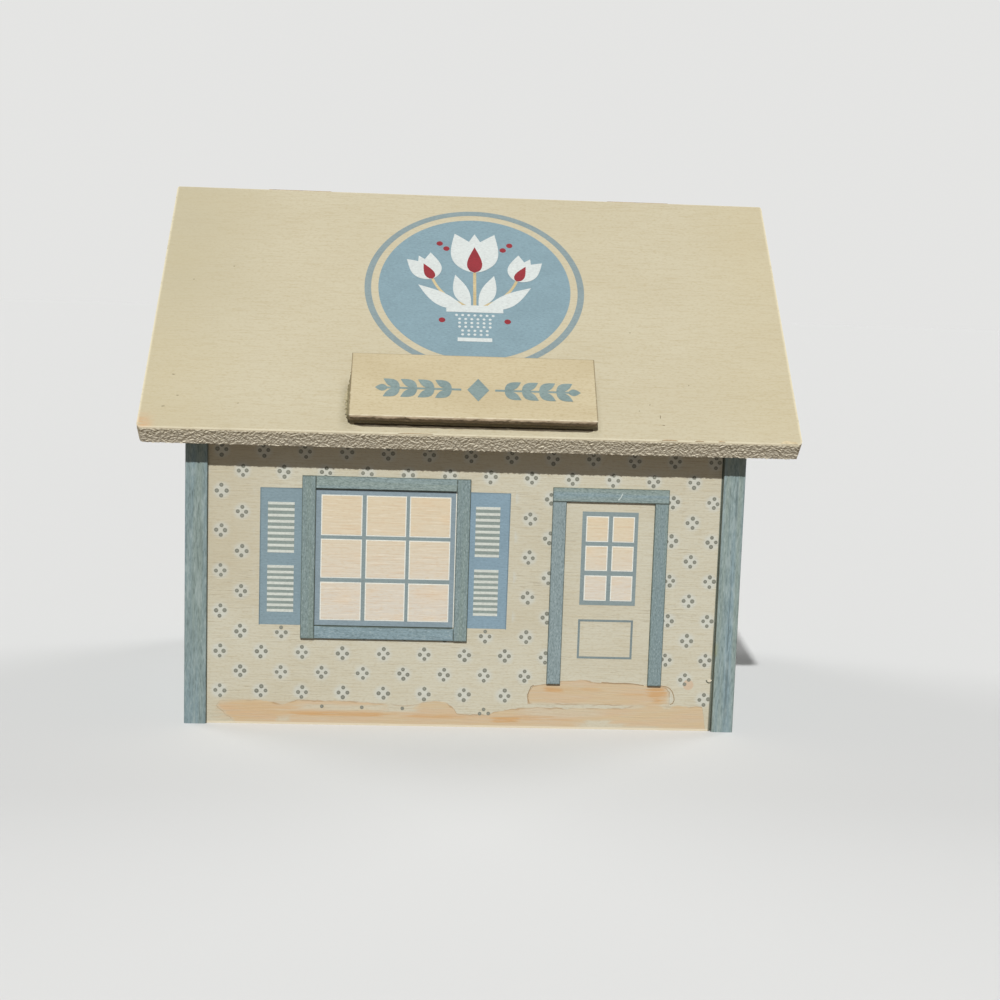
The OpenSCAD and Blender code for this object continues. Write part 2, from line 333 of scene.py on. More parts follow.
# Painted light: the sign's lower end is lighter towards the lid
TORN_LOW_PAINTED_LIGHT = rgb(152, 136, 110)
TORN_TIP = rgb(190, 172, 144)
RAW_PALE = rgb(212, 190, 152)
RAW_DARK = rgb(180, 150, 110)
RAW_PORE = rgb(132, 102, 70)
BRASS = rgb(178, 140, 74)
BRASS_DARK = rgb(104, 78, 44)


# Materials


def painted_grain(axes, light, dark, seed, streaks=0.55, dashes=0.35, cloudy=0.3):
    """Cream paint that shows the board's grain, which runs along the first axis."""
    clouds = blotches(axes, (40, 16, 16), seed)
    fibres = blotches(axes, (7, 0.45, 3), seed + 3, 3)
    lines = blotches(axes, (4.5, 0.2, 3), seed + 7, 1)
    patches = blotches(axes, (30, 9, 9), seed + 11)
    specks = blotches(axes, (1.0, 0.4, 0.6), seed + 15)
    dash = fade(lines, 0.61, 0.72) * fade(patches, 0.38, 0.62) * dashes
    colour = mix(fade(clouds, 0.35, 0.75) * cloudy, light, dark)
    colour = mix(fade(fibres, 0.45, 0.8) * streaks, colour, dark)
    colour = mix(fade(specks, 0.48, 0.7) * 0.38, colour, dark)
    return mix(dash, colour, GRAIN_DASH), fibres - dash


def fibreboard(axes, seed, tones=FIBRE_TONES_PAINTED_LIGHT):
    """The rough sawn end of a board with paint on its high spots."""
    coarse = blotches(axes, (1.5, 0.5, 0.5), seed)
    fine = blotches(axes, (0.7, 0.3, 0.3), seed + 5)
    height = coarse * 0.65 + fine * 0.35
    colour = mix(fade(height, 0.36, 0.5), tones[0], tones[1])
    return mix(fade(height, 0.5, 0.64), colour, tones[2]), height


def torn_fibre(name, out, start, seed, tones=FIBRE_TONES_PAINTED_LIGHT):
    """Torn fibres at a board's end: paint on their tips, bare wood between them."""
    surface = Surface(name)
    speckle = blotches(surface.axes(ACROSS, BACK, UP), (0.8, 0.5, 0.5), seed)
    raised = surface.along(out, start) + (speckle - 0.5) * 0.3
    colour = mix(fade(raised, -0.02, 0.12), tones[0], tones[1])
    colour = mix(fade(raised, 0.12, 0.3), colour, tones[2])
    return surface.finish(colour, speckle, 0.75, 0.08, 0.2)


def raw_wood(axes, seed):
    """Bare pale wood with its grain along the first axis."""
    along, across, deep = axes
    warp = blotches(axes, (38, 12, 12), seed + 2) * 9.0
    rings = blotches((along, across + warp, deep), (120, 1.7, 1.7), seed, 4)
    pores = blotches(axes, (5, 0.22, 0.22), seed + 9)
    blotch = blotches(axes, (45, 18, 18), seed + 4)
    colour = mix(fade(rings, 0.38, 0.72) * 0.75, RAW_PALE, RAW_DARK)
    colour = mix(fade(blotch, 0.4, 0.75) * 0.25, colour, RAW_DARK)
    colour = mix(fade(pores, 0.56, 0.72) * 0.3, colour, RAW_PORE)
    return colour, rings * 0.4 + pores * 0.6


# The wall's paint: florets stand on a slightly leaning lattice of these half steps

FLORET_X = -67.86
FLORET_Z = 9.45
FLORET_STEP_X = 5.693
FLORET_STEP_Z = 5.669
FLORET_LEAN_X = 0.022
FLORET_LEAN_Z = -0.011
# The upper rows are printed a little low
UPPER_ROWS = 9
UPPER_DROP = 0.34

# The stretches of wall that have none
NO_FLORETS_X = (-58.5, 13.5)
NO_FLORETS_Z = (27.0, 68.5)
DOORWAY_X = (25.0, 55.0)
DOORWAY_TOP = 68.0

# The ground wash along the wall's foot, and the doorstep: how high each reaches
WASH_TOP = (
    (-69.0, 2.0), (-68.5, 5.6), (-67.4, 6.8), (-62.0, 7.1), (-57.0, 6.9), (-50.5, 5.9), (-45.0, 7.1),
    (-34.0, 7.1), (-22.0, 6.4), (-15.0, 5.9), (-9.0, 7.4), (-5.0, 7.2), (-2.8, 6.0), (-0.8, 3.7), (7.7, 3.7),
    (9.5, 4.6), (14.4, 5.5), (20.0, 6.0), (45.0, 6.2), (51.0, 7.4), (57.0, 7.2), (69.0, 7.1), (69.4, 0.4),
)
# Its lower left corner is cut off by a line that falls this much to each millimetre across
WASH_CUT = 56.2
WASH_FALL = 0.89
STEP_LEFT = 18.7
STEP_RIGHT = 59.2
STEP_LOW = 7.0
STEP_TOP = (
    (18.7, 8.4), (19.2, 11.2), (20.4, 12.4), (24.0, 12.9), (28.8, 13.9), (33.0, 14.2),
    (40.0, 13.6), (47.0, 13.5), (52.0, 12.9), (57.5, 12.5), (59.4, 11.2),
)

# Brush strokes in it: left, right, low and high ends, how soft sideways and upwards, how strong
DEEP_STROKES = (
    (-67.5, -48.0, 1.4, 6.4, 3.0, 1.2, 0.35),
    (-58.0, -50.0, 3.2, 3.6, 4.0, 0.35, 0.5),
    (-49.0, -21.0, 2.6, 3.7, 3.0, 0.35, 1.0),
    (-15.0, 0.0, 2.4, 3.5, 3.0, 0.4, 0.75),
    (-7.0, 8.0, 3.0, 3.4, 3.0, 0.25, 0.7),
    (8.7, 16.3, 1.6, 3.1, 1.5, 0.5, 1.0),
    (15.0, 24.0, 2.9, 3.5, 2.5, 0.35, 0.85),
    (16.0, 32.0, 2.4, 2.7, 2.0, 0.2, 0.6),
    (23.3, 28.8, 10.6, 12.0, 1.0, 0.4, 0.95),
    (28.8, 39.0, 11.1, 12.0, 2.0, 0.5, 0.5),
    (45.5, 53.0, 10.1, 10.6, 2.0, 0.3, 0.6),
    (53.0, 58.2, 9.4, 12.6, 1.3, 0.6, 1.0),
    (54.4, 57.4, 7.9, 9.8, 1.4, 0.7, 0.9),
)
THIN_STROKES = (
    (-45.0, -21.0, 4.4, 5.9, 2.0, 0.4, 0.8),
    (-21.5, -12.5, 4.1, 6.8, 1.5, 0.4, 1.0),
    (-51.8, -48.2, 0.8, 2.4, 0.7, 0.35, 0.9),
    (35.2, 42.0, -1.0, 2.6, 1.4, 0.45, 1.0),
    (33.6, 47.0, -1.0, 1.7, 2.2, 0.4, 0.9),
    (42.0, 57.0, -1.0, 1.1, 3.0, 0.3, 0.75),
    (19.0, 40.0, 5.9, 7.4, 3.0, 0.4, 1.0),
    (38.0, 52.0, 6.2, 7.2, 3.0, 0.4, 0.7),
    (17.0, 40.0, 3.6, 6.0, 4.0, 0.6, 0.45),
)
# Pencil-like lines round the doorstep
STEP_LINES = (
    ((20.3, 12.5), (19.6, 12.1), (19.2, 11.1), (18.6, 9.5), (18.8, 8.5), (19.2, 7.3)),
    ((39.5, 13.65), (41.5, 13.55), (43.4, 13.35), (46.0, 13.55), (48.5, 13.4), (51.6, 12.95)),
    ((56.4, 12.95), (58.0, 12.75), (59.0, 12.3), (59.8, 11.4), (60.3, 10.2), (60.5, 8.9), (60.1, 7.9), (59.4, 7.6)),
)
BLOT = (64.3, 13.4, 1.5)
# Height up to which painted shade of the open joint beside the right panel reaches onto the wall; it widens
# downward
JOINT_SHADE_TOP = 48.0
# The run and the height over which the two outlines above are drawn
WASH_RUN = (-72, 72, 16)


def without_lean(x, z):
    """The wall's places with the lattice's lean taken out."""
    flat_x = (z - FLORET_Z).scaled(-FLORET_LEAN_X / FLORET_STEP_Z, x)
    return flat_x, (x - FLORET_X).scaled(-FLORET_LEAN_Z / FLORET_STEP_X, z)


def halo_share(x, z):
    """1 at the middle of each floret of the lattice, fading out round it."""
    x, z = without_lean(x, z)
    upper = FLORET_Z + (UPPER_ROWS - 0.5) * FLORET_STEP_Z
    z = z + fade(z, upper - 0.5, upper + 0.5) * UPPER_DROP
    across = (x - FLORET_X) / FLORET_STEP_X
    up = (z - FLORET_Z) / FLORET_STEP_Z
    plus = (across + up) * 0.5
    minus = (across - up) * 0.5
    plus = plus - calculate("ROUND", plus)
    minus = minus - calculate("ROUND", minus)
    far = length_of((plus + minus) * FLORET_STEP_X, (plus - minus) * FLORET_STEP_Z)
    return fade(far, 3.0, 1.2)


def bare_of_florets(x, z):
    """1 round the window and shutters, in the door, on its step and on the ground wash."""
    window = band(x, *NO_FLORETS_X, 0.2) * band(z, *NO_FLORETS_Z, 0.2)
    door = band(x, *DOORWAY_X, 0.2) * fade(z, DOORWAY_TOP, DOORWAY_TOP - 0.2)
    step = band(x, STEP_LEFT, STEP_RIGHT, 0.2) * fade(z, 14.2, 13.8)
    return highest(highest(window, door), highest(step, fade(z, 7.0, 6.0)))


def strokes(x, z, table, seed):
    """The strongest of some brush strokes with ragged ends, from 0 to 1."""
    ragged = blotches((x, z), (5, 0.6), seed, 5) - 0.5
    total = 0.0
    for left, right, low, high, soft_x, soft_z, strength in table:
        along = band(ragged.scaled(soft_x * 3.5, x), left, right, soft_x)
        over = band(ragged.scaled(soft_z * 2.6, z), low, high, soft_z)
        total = highest(total, along * over * strength)
    return total


def wash_share(x, z):
    """How far a point lies inside the peach ground wash or the doorstep, in millimetres."""
    waver = blotches((x, z), (4, 1.2), 4.0, 5) - 0.5
    ground = lowest(profile(x, *WASH_RUN, WASH_TOP) - z, x.scaled(WASH_FALL, WASH_CUT) + z)
    sides = lowest(x - STEP_LEFT, STEP_RIGHT - x)
    step = lowest(lowest(sides, profile(x, *WASH_RUN, STEP_TOP) - z), z - STEP_LOW)
    return highest(waver.scaled(1.5, ground), waver.scaled(1.1, step))


def round_spot(x, z, spot):
    """1 inside a round spot of that middle and radius."""
    middle_x, middle_z, radius = spot
    return fade(length_of(x - middle_x, z - middle_z), radius + 0.2, radius - 0.2)


def washed(x, z, y, colour):
    """Puts the peach ground wash and the doorstep over the wall's colour."""
    inside = wash_share(x, z)
    brush = blotches((x, z, y), (9, 0.5, 1), 12.0, 5)
    tones = fade(blotches((x, z, y), (16, 2.5, 1), 31.0, 3), 0.35, 0.65)
    ends = fade(x, -58.0, -66.0) + band(x, 57.0, 59.6, 1.2)
    fill = fade(inside, -0.1, ends.scaled(1.0, 0.3)) * fade(brush, 0.25, 0.6).scaled(0.35, 0.6)
    fill = fill * (1.0 - strokes(x, z, THIN_STROKES, 17.0) * 0.9)
    colour = mix(fill, colour, mix(tones * 0.5, WASH, WASH_PINK))
    deep = strokes(x, z, DEEP_STROKES, 23.0) * fade(brush, 0.2, 0.55)
    colour = mix(deep * 0.85, colour, WASH_DEEP)
    outline = fade(inside, -0.12, 0.06) * fade(inside, 0.4, 0.16)
    broken = fade(blotches((x, z, y), (6, 3, 1), 41.0), 0.35, 0.6)
    return mix(outline * broken * 0.6, colour, WASH_LINE)


def wall_ground(surface, x, z, y):
    """The front's cream paint with its halos, its wash and painted shade in the open seam beside the right panel.
    """
    colour, height = painted_grain((x, z, y), WALL_CREAM, WALL_GRAIN, 0.0)
    dull = fade(x, -46.0, -66.0) * fade(z, 22.0, 50.0)
    colour = mix(dull * 0.4, colour, WALL_GRAIN)
    printed = halo_share(x, z) * (1.0 - bare_of_florets(x, z)) * surface.facing(-BACK)
    colour = washed(x, z, y, mix(printed * 0.42, colour, HALO))
    colour = mix(round_spot(x, z, BLOT) * 0.75, colour, WASH_PINK)
    colour = mix(fade(z, 0.75, 0.45) * 0.85, colour, WALL_FOOT)
    # Painted shade of the open joint beside the right panel, widest at the foot
    depth = z.scaled(-0.4 / JOINT_SHADE_TOP, 0.4) - (WALL_RIGHT - x)
    return mix(fade(depth, -0.1, 0.15) * 0.85, colour, PAINTED_SHADE), height


def front_paint():
    surface = Surface("front_cream")
    axes = surface.axes(ACROSS, UP, BACK)
    outer = wall_ground(surface, *axes)
    return surface.finish(*mix_finishes(surface.facing(BACK), outer, raw_wood(axes, 2.0)), 0.62)


def back_paint():
    surface = Surface("back_cream")
    axes = surface.axes(ACROSS, UP, BACK)
    colour, height = painted_grain(axes, WALL_CREAM, WALL_GRAIN, 20.0)
    rub = rim(axes[1], 0, FAR, 1.6) * fade(blotches(axes, (9, 2, 2), 5.0), 0.4, 0.7)
    outer = mix(rub * 0.6, colour, PEACH_STAIN), height
    return surface.finish(*mix_finishes(surface.facing(-BACK), outer, raw_wood(axes, 6.0)), 0.62)


def roof_wear(colour, x, s, h, ends, seed):
    """A roof board's yellowed ends, edges paler from wear and a painted highlight, corner stain and few specks."""
    low, high = ends
    off = abs(x - (LID_LEFT + LID_RIGHT) / 2)
    clouds = blotches((x, s, h), (30, 22, 9), seed + 21)
    yellow = fade(off, 55.0, 90.0) * (clouds * fade(x, 40.0, -40.0).scaled(0.25, 0.3))
    colour = mix(yellow, colour, LID_END)
    dusk = fade(x, -48.0, -88.0) * fade(s, low + 22.0, low + 60.0).scaled(0.28, 0.18)
    colour = mix(dusk, colour, LID_DUSK)
    rub = blotches((x, s, h), (4, 1.2, 2), seed + 2, 3)
    corner = fade(x, LID_LEFT + 6.0, LID_LEFT) * fade(s, low + 7.0, low)
    colour = mix(corner * fade(rub, 0.25, 0.6) * 0.9, colour, PEACH_STAIN)
    # Paler edges: worn paint, and in part a painted highlight along the rounded edges
    edge = highest(rim(x, LID_LEFT, LID_RIGHT, 0.75), rim(s, low, high, 0.75))
    colour = mix(edge * fade(rub, 0.2, 0.5) * 0.7, colour, LID_WORN_AND_HIGHLIGHT)
    nick = blotches((x, s, h), (1.5, 0.7, 0.8), seed + 40)
    return mix(fade(nick, 0.79, 0.82) * 0.6, colour, LID_NICK)


def sign_side_shade(colour, x, s, h):
    """Painted shade on the lid to either side of the sign, broken up by specks."""
    specks = fade(blotches((x, s, h), (0.9, 0.5, 1), 61.0, 3), 0.3, 0.65)
    low = SIGN_LOW - 1.0
    right = band(x, SIGN_RIGHT - 2.0, SIGN_RIGHT + 0.8, 1.3) * band(s, low, SIGN_HIGH - 5.0, 3.0)
    left = band(x, SIGN_LEFT - 2.2, SIGN_LEFT + 2.0, 1.6) * band(s, low, SIGN_HIGH - 8.0, 3.0)
    return mix(highest(right * 0.45, left * 0.6) * specks.scaled(0.6, 0.6), colour, SIGN_SIDE_SHADE)


def roof_paint(name, slope, down, out, ends, seed, marks=None):
    """Cream paint on a roof board, rough at its sawn ends, raw underneath and worn at its edges."""
    surface = Surface(name)
    axes = surface.axes(ACROSS, slope, out)
    colour, height = painted_grain(axes, LID_CREAM, LID_GRAIN, seed, 0.42, 0.05, 0.14)
    colour = roof_wear(colour, *axes, ends, seed)
    if marks:
        colour = marks(colour, *axes)
    sawn = highest(surface.ends(), surface.facing(down, 0.7))
    finish = mix_finishes(sawn, (colour, height), fibreboard(axes, seed))
    finish = mix_finishes(surface.facing(-out), finish, raw_wood(axes, seed + 4))
    return surface.finish(*finish, 0.58, 0.09)


def streaked_blue(axes, blue, green, seed, dashes, fleck=(1.8, 0.34), strong=1.0):
    """Blue-grey paint in two close tones, with fine grain and flecks along the first axis."""
    tone = blotches(axes, (90, 2.4, 2.4), seed)
    grain = blotches(axes, (3.0, 0.32, 0.32), seed + 3, 3)
    specks = blotches(axes, (fleck[0], fleck[1], fleck[1]), seed + 17)
    lines = blotches(axes, (7, 0.4, 0.4), seed + 8, 1)
    patches = blotches(axes, (26, 3, 3), seed + 13)
    dash = fade(lines, 0.62, 0.72) * fade(patches, 0.45, 0.65)
    colour = mix(fade(tone, 0.3, 0.7), blue, green)
    colour = mix(fade(grain, 0.35, 0.75) * (0.26 * strong), colour, BLUE_DEEP)
    colour = mix(fade(specks, 0.5, 0.68) * (0.42 * strong), colour, BLUE_DEEP)
    colour = mix(fade(specks, 0.42, 0.3) * (0.4 * strong), colour, BLUE_PALE)
    return mix(dash * dashes, colour, BLUE_DEEP), grain - dash * 0.6


# Dark streaks down the right panel's front edge: low and high ends, left and right, softness, strength
POST_STREAKS = (
    (58.0, 72.0, 75.0, 75.5, 2.0, 0.15, 1.0),
    (24.0, 46.0, 74.6, 75.0, 4.0, 0.15, 0.9),
    (4.0, 22.0, 74.7, 75.4, 3.0, 0.2, 1.0),
    (30.0, 74.0, 73.4, 73.6, 8.0, 0.1, 0.6),
)
POST_STAIN = ((22.5, 25.5, 71.2, 72.0, 1.0, 0.3, 1.0),)


def side_paint():
    """The side panels: blue-grey outside with upright grain, raw inside, rubbed at the corners, with painted shade
    on the inner faces' slivers beside the wall.
    """
    surface = Surface("side_blue")
    x, y, z = surface.axes(ACROSS, BACK, UP)
    axes = (z, x, y)
    colour, height = streaked_blue(axes, POST_BLUE, POST_GREEN, 0.0, 0.55)
    colour = mix(fade(x, 1.0, -1.0) * 0.17, colour, BLUE_DEEP)
    colour = mix(strokes(z, x, POST_STREAKS, 52.0) * 0.6, colour, BLUE_DEEP)
    colour = mix(strokes(z, x, POST_STAIN, 58.0) * 0.6, colour, OLIVE)
    corners = highest(rim(z, 0, FAR, 1.2), rim(y, reach("left_side", BACK)[0], FAR, 0.5))
    rub = blotches(axes, (5, 1.4, 1.4), 8.0, 3)
    colour = mix(corners * fade(rub, 0.5, 0.7) * 0.35, colour, BLUE_PALE)
    middle = calculate("LESS_THAN", abs(x), reach("right_side", ACROSS)[1] - 3)
    towards = calculate("SIGN", x) * dot(surface.normal, -ACROSS)
    inward = fade(towards, 0.6, 0.8) * middle
    # Painted shade on the sliver of the panel's inner face that stands proud of the wall
    lip = inward * fade(y, FACE_Y + 0.5, FACE_Y + 0.3)
    colour = mix(lip * 0.8, colour, PAINTED_SHADE)
    inside = inward * fade(y, FACE_Y + 3.0, FACE_Y + 3.2)
    return surface.finish(*mix_finishes(inside, (colour, height), raw_wood(axes, 3.0)), 0.6, 0.07)


TRIM_TONES = {
    "window_head": (TRIM_BLUE, POST_GREEN),
    "window_sill": (TRIM_BLUE, POST_BLUE),
    "window_left_jamb": (TRIM_DUSK, TRIM_MOSS),
    "window_right_jamb": (TRIM_DUSK, TRIM_GREEN),
    "door_head": (TRIM_BLUE, POST_GREEN),
    "door_left_jamb": (TRIM_EVEN, TRIM_EVEN),
    "door_right_jamb": (TRIM_DUSK, TRIM_GREEN),
}


def trim_paint(node):
    """A glued strip's blue-grey paint, with grain along it and a dark line at its edges."""
    surface = Surface(node + "_blue")
    x, y, z = surface.axes(ACROSS, BACK, UP)
    x_low, x_high = reach(node, ACROSS)
    z_low, z_high = reach(node, UP)
    axes = (z, x, y) if z_high - z_low > x_high - x_low else (x, z, y)
    seed = x_low + z_low
    colour, height = streaked_blue(axes, *TRIM_TONES[node], seed, 0.15, (0.7, 0.3), 1.1)
    edge = highest(rim(x, x_low, x_high, 0.36), rim(z, z_low, z_high, 0.36))
    wear = fade(blotches(axes, (3, 1, 1), seed + 5, 3), 0.2, 0.5)
    return surface.finish(mix(edge * wear * 0.75, colour, TRIM_DARK), height)


def sign_paint():
    """The sign board's cream face, with bare sawn ends and a pale chipped lower edge."""
    surface = Surface("sign_cream")
    axes = x, s, h = surface.axes(ACROSS, UP_SLOPE, LID_OUT)
    colour, height = painted_grain(axes, SIGN_CREAM, SIGN_GRAIN, 60.0, 0.3, 0.06)
    wear = fade(blotches(axes, (4, 1.5, 1.5), 2.0, 3), 0.22, 0.48)
    dark_edge = highest(rim(x, SIGN_LEFT, SIGN_RIGHT, 0.4), rim(s, -FAR, SIGN_HIGH, 0.5))
    colour = mix(dark_edge * wear * 0.9, colour, SIGN_EDGE)
    pale_edge = rim(s, SIGN_LOW, FAR, 0.55) * fade(h, SIGN_FACE - 0.9, SIGN_FACE - 0.4)
    chipped = fade(blotches(axes, (2.5, 2.5, 2.5), 27.0), 0.35, 0.6)
    colour = mix(pale_edge * chipped * 0.9, colour, SIGN_CHIPPED)
    rough = highest(surface.ends(), surface.facing(-UP_SLOPE, 0.8))
    sawn = fibreboard(axes, 9.0, (SIGN_FIBRE_DARK, SIGN_FIBRE, SIGN_FIBRE))
    return surface.finish(*mix_finishes(rough, (colour, height), sawn), 0.6, 0.08)


def sign_end_paint():
    """The sign's torn lower end: brown, lighter towards the lid as painted light against the shade there, with
    chipped paler fibre along the face's edge.
    """
    surface = Surface("sign_low_fibres")
    axes = surface.axes(ACROSS, UP_SLOPE, LID_OUT)
    ragged = blotches(axes, (1.8, 1, 0.6), 44.0, 4)
    speckle = blotches(axes, (0.8, 0.5, 0.5), 8.0)
    below = SIGN_FACE - axes[2]
    # Lighter towards the lid: painted light that offsets the shade under the sign
    colour = mix(fade(below, 0.8, 2.2), TORN_TOP, TORN_LOW_PAINTED_LIGHT)
    colour = mix(fade(speckle, 0.4, 0.65) * 0.5, colour, SIGN_FIBRE_DARK)
    colour = mix(fade(ragged.scaled(1.6, below), 1.75, 1.35), colour, TORN_TIP)
    return surface.finish(colour, speckle, 0.75, 0.08, 0.2)


def bare_wood():
    surface = Surface("bare_wood")
    return surface.finish(*raw_wood(surface.axes(ACROSS, BACK, UP), 14.0), 0.7, 0.08)


def brass(name, seed):
    """Dull plated brass with tarnish in patches and fine scratches."""
    surface = Surface(name)
    axes = surface.axes(ACROSS, BACK, UP)
    patches = blotches(axes, (3, 3, 3), seed, 4)
    scratches = blotches(axes, (5, 0.12, 0.12), seed + 6)
    colour = mix(fade(patches, 0.45, 0.7), BRASS, BRASS_DARK)
    return surface.finish(colour, scratches, patches.scaled(0.35, 0.22), 0.01, 0.5, 1.0)


def brad_paint(name, light, dark):
    """A sunk nail head under the boards' paint, mottled where the filler shrank."""
    surface = Surface(name)
    mottle = blotches(surface.axes(ACROSS, BACK, UP), (0.8, 0.8, 0.8), 5.0, 3)
    return surface.finish(mix(fade(mottle, 0.35, 0.7), light, dark), mottle)


def ink(name, light, dark, seed, slope=UP):
    """Flat printed colour that the board's grain shows through. dark is a colour or a share of light."""
    surface = Surface(name)
    dark = shade(light, dark) if isinstance(dark, float) else dark
    axes = surface.axes(ACROSS, slope, BACK)
    clouds = blotches(axes, (9, 7, 9), seed, 3)
    fibres = blotches(axes, (7, 0.45, 30), seed + 3, 3)
    specks = blotches(axes, (0.8, 0.45, 1), seed + 9)
    colour = mix(fade(clouds, 0.35, 0.7), light, dark)
    colour = mix(fade(fibres, 0.55, 0.8) * 0.3, colour, dark)
    colour = mix(fade(specks, 0.5, 0.7) * 0.6, colour, shade(dark, 0.84))
    colour = mix(fade(specks, 0.42, 0.3) * 0.6, colour, shade(light, 1.14))
    return surface.finish(colour, fibres, depth=0.05)


def lid_ink(name, light, dark, seed):
    return ink(name, light, dark, seed, UP_SLOPE)


def pane_paint(name, low, high):
    """Panes that go from peach at the top of a window to a pinkish white at its foot."""
    surface = Surface(name)
    axes = surface.axes(ACROSS, UP, BACK)
    blush = blotches(axes, (10, 5, 5), 2.0)
    fibres = blotches(axes, (7, 0.45, 3), 3.0, 3)
    specks = blotches(axes, (1.4, 0.4, 1), 8.0)
    colour = mix(fade(axes[1], low, high), PANE_LOW, PANE_TOP)
    colour = mix(fade(blush, 0.45, 0.75) * 0.35, colour, PANE_BLUSH)
    colour = mix(fade(fibres, 0.5, 0.75) * 0.4, colour, PANE_FIBRE)
    colour = mix(fade(fibres, 0.45, 0.3) * 0.5, colour, PANE_LIGHT)
    colour = mix(fade(specks, 0.5, 0.7) * 0.4, colour, PANE_SPECK)
    return surface.finish(colour, fibres, depth=0.05)


# Flat plates of print

SUNK = -0.03
LAYER = 0.03
# How far below the wall's face the strip of painted shade in the joint beside the right panel lies
JOINT_DEPTH = 0.22
JOINT_SHADE_STEPS = 60


def on_wall(x, z, lift):
    return Vector((x, FACE_Y - lift, z)) * MM


def in_joint(x, z, lift):
    """In the joint between the wall and the right panel."""
    return on_wall(x, z, lift - JOINT_DEPTH)


def on_trim(x, z, lift):
    return Vector((x, TRIM_FACE_Y - lift, z)) * MM


def on_lid(x, s, lift):
    return (ACROSS * x + UP_SLOPE * (LID_LOW + s) + LID_OUT * (LID_FACE + lift)) * MM


def on_sign(x, s, lift):
    return (ACROSS * x + UP_SLOPE * (LID_LOW + s) + LID_OUT * (SIGN_FACE + lift)) * MM


# The body that each place moves with, and its slot
CARRIERS = {
    on_wall: ("house", "front_paint"),
    in_joint: ("house", "front_paint"),
    on_trim: ("house", "trim_paint"),
    on_lid: ("lid", "lid_paint"),
    on_sign: ("lid", "sign_paint"),
}


def add_plate(bm, outline, place, top):
    """A closed plate with that outline. A pair of outlines makes a ring."""
    rings = outline if isinstance(outline, tuple) else (outline,)
    walls = []
    for ring in rings:
        walls.append([[bm.verts.new(place(u, v, h)) for u, v in ring] for h in (SUNK, top)])
    for low, high in walls:
        for i in range(len(low)):
            j = (i + 1) % len(low)
            bm.faces.new((low[i], low[j], high[j], high[i]))
    if len(walls) == 1:
        bm.faces.new(walls[0][0])
        bm.faces.new(walls[0][1])
        return
    for outer, inner in zip(*walls):
        for i in range(len(outer)):
            j = (i + 1) % len(outer)
            bm.faces.new((outer[i], outer[j], inner[j], inner[i]))


def add_piece(name, bm, material, body, slot):
    """Turns a closed mesh into a piece that moves with a body and takes that material. slot is not used."""
    bmesh.ops.recalc_face_normals(bm, faces=bm.faces)
    mesh = bpy.data.meshes.new(name)
    bm.to_mesh(mesh)
    bm.free()
    mesh.materials.append(material)
    piece = bpy.data.objects.new(name, mesh)
    bpy.context.scene.collection.objects.link(piece)
    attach(piece, body)


def make_print(name, outlines, place, layer, material):
    """One printed colour: its plates lie on the wall, the lid or the sign, layer by layer."""
    bm = bmesh.new()
    for outline in outlines:
        add_plate(bm, outline, place, LAYER * layer)
    add_piece(name, bm, material, *CARRIERS[place])


# Outlines

LEAF_STEPS = 16
ARC_STEPS = 14


def rectangle(left, right, low, high):
    return [(left, low), (right, low), (right, high), (left, high)]


def border(left, right, low, high, width):
    inner = rectangle(left + width, right - width, low + width, high - width)
    return rectangle(left, right, low, high), inner


def ellipse(x, z, wide, tall, sides=144):
    turn = 2 * math.pi / sides
    return [(x + wide * math.cos(i * turn), z + tall * math.sin(i * turn)) for i in range(sides)]


def disc(x, z, radius, sides=18):
    return ellipse(x, z, radius, radius, sides)


def leaf(x, z, length, width, lean, full=0.8, bend=0.0):
    """A pointed leaf or petal from its root, leaning by an angle from upright, bent sideways."""
    tilt = math.radians(lean)
    ahead = (math.sin(tilt), math.cos(tilt))
    points = []
    for side in (1, -1):
        for i in range(LEAF_STEPS):
            t = i / LEAF_STEPS if side == 1 else 1 - i / LEAF_STEPS
            half = side * width / 2 * math.sin(math.pi * t**full) + bend * t * t
            along = length * t
            points.append((x + ahead[0] * along + ahead[1] * half, z + ahead[1] * along - ahead[0] * half))
    return points


def ribbon(points, width):
    """A stroke of even width along a path."""
    left, right = [], []
    for i, (x, z) in enumerate(points):
        before, after = points[max(i - 1, 0)], points[min(i + 1, len(points) - 1)]
        dx, dz = after[0] - before[0], after[1] - before[1]
        span = math.hypot(dx, dz)
        left.append((x - dz / span * width / 2, z + dx / span * width / 2))
        right.append((x + dz / span * width / 2, z - dx / span * width / 2))
    return left + right[::-1]


def arc(start, middle, end):
    """A smooth path from start to end, pulled towards middle."""
    shares = [i / ARC_STEPS for i in range(ARC_STEPS + 1)]
    return [
        tuple(a * (1 - t) ** 2 + 2 * b * t * (1 - t) + c * t * t for a, b, c in zip(start, middle, end))
        for t in shares
    ]


def mirrored(outline, middle):
    return [(2 * middle - x, z) for x, z in outline][::-1]


# The front's prints. Each outline gives its left, right, low and high ends.

SHUTTER_LOW = 28.5
SHUTTER_HIGH = 66.95
SHUTTERS = {
    "left": [(-57.05, SHUTTER_LOW), (-45.2, SHUTTER_LOW), (-45.2, SHUTTER_HIGH), (-57.0, SHUTTER_HIGH)],
    "right": [(0.7, SHUTTER_LOW), (11.9, SHUTTER_LOW), (12.1, SHUTTER_HIGH), (0.7, SHUTTER_HIGH)],
}
LOUVRES = {"left": (-54.9, -47.6), "right": (2.5, 9.3)}
LOUVRE_COUNT = 9
LOUVRE_H = 0.74
LOUVRE_GROUPS = ((62.6, 49.2), (44.9, 32.5))

DOT_R = 0.585
DOT_OFF_X = 1.22
DOT_OFF_Z = 1.36
DOT_STRAY = 0.17
FLORET_ROWS = 14
FLORET_COLUMNS = 24
LONE_DOTS = ((-39.2, 5.3), (-28.0, 5.2), (-16.6, 5.1), (6.35, 5.2), (5.25, 3.95), (7.7, 4.05))

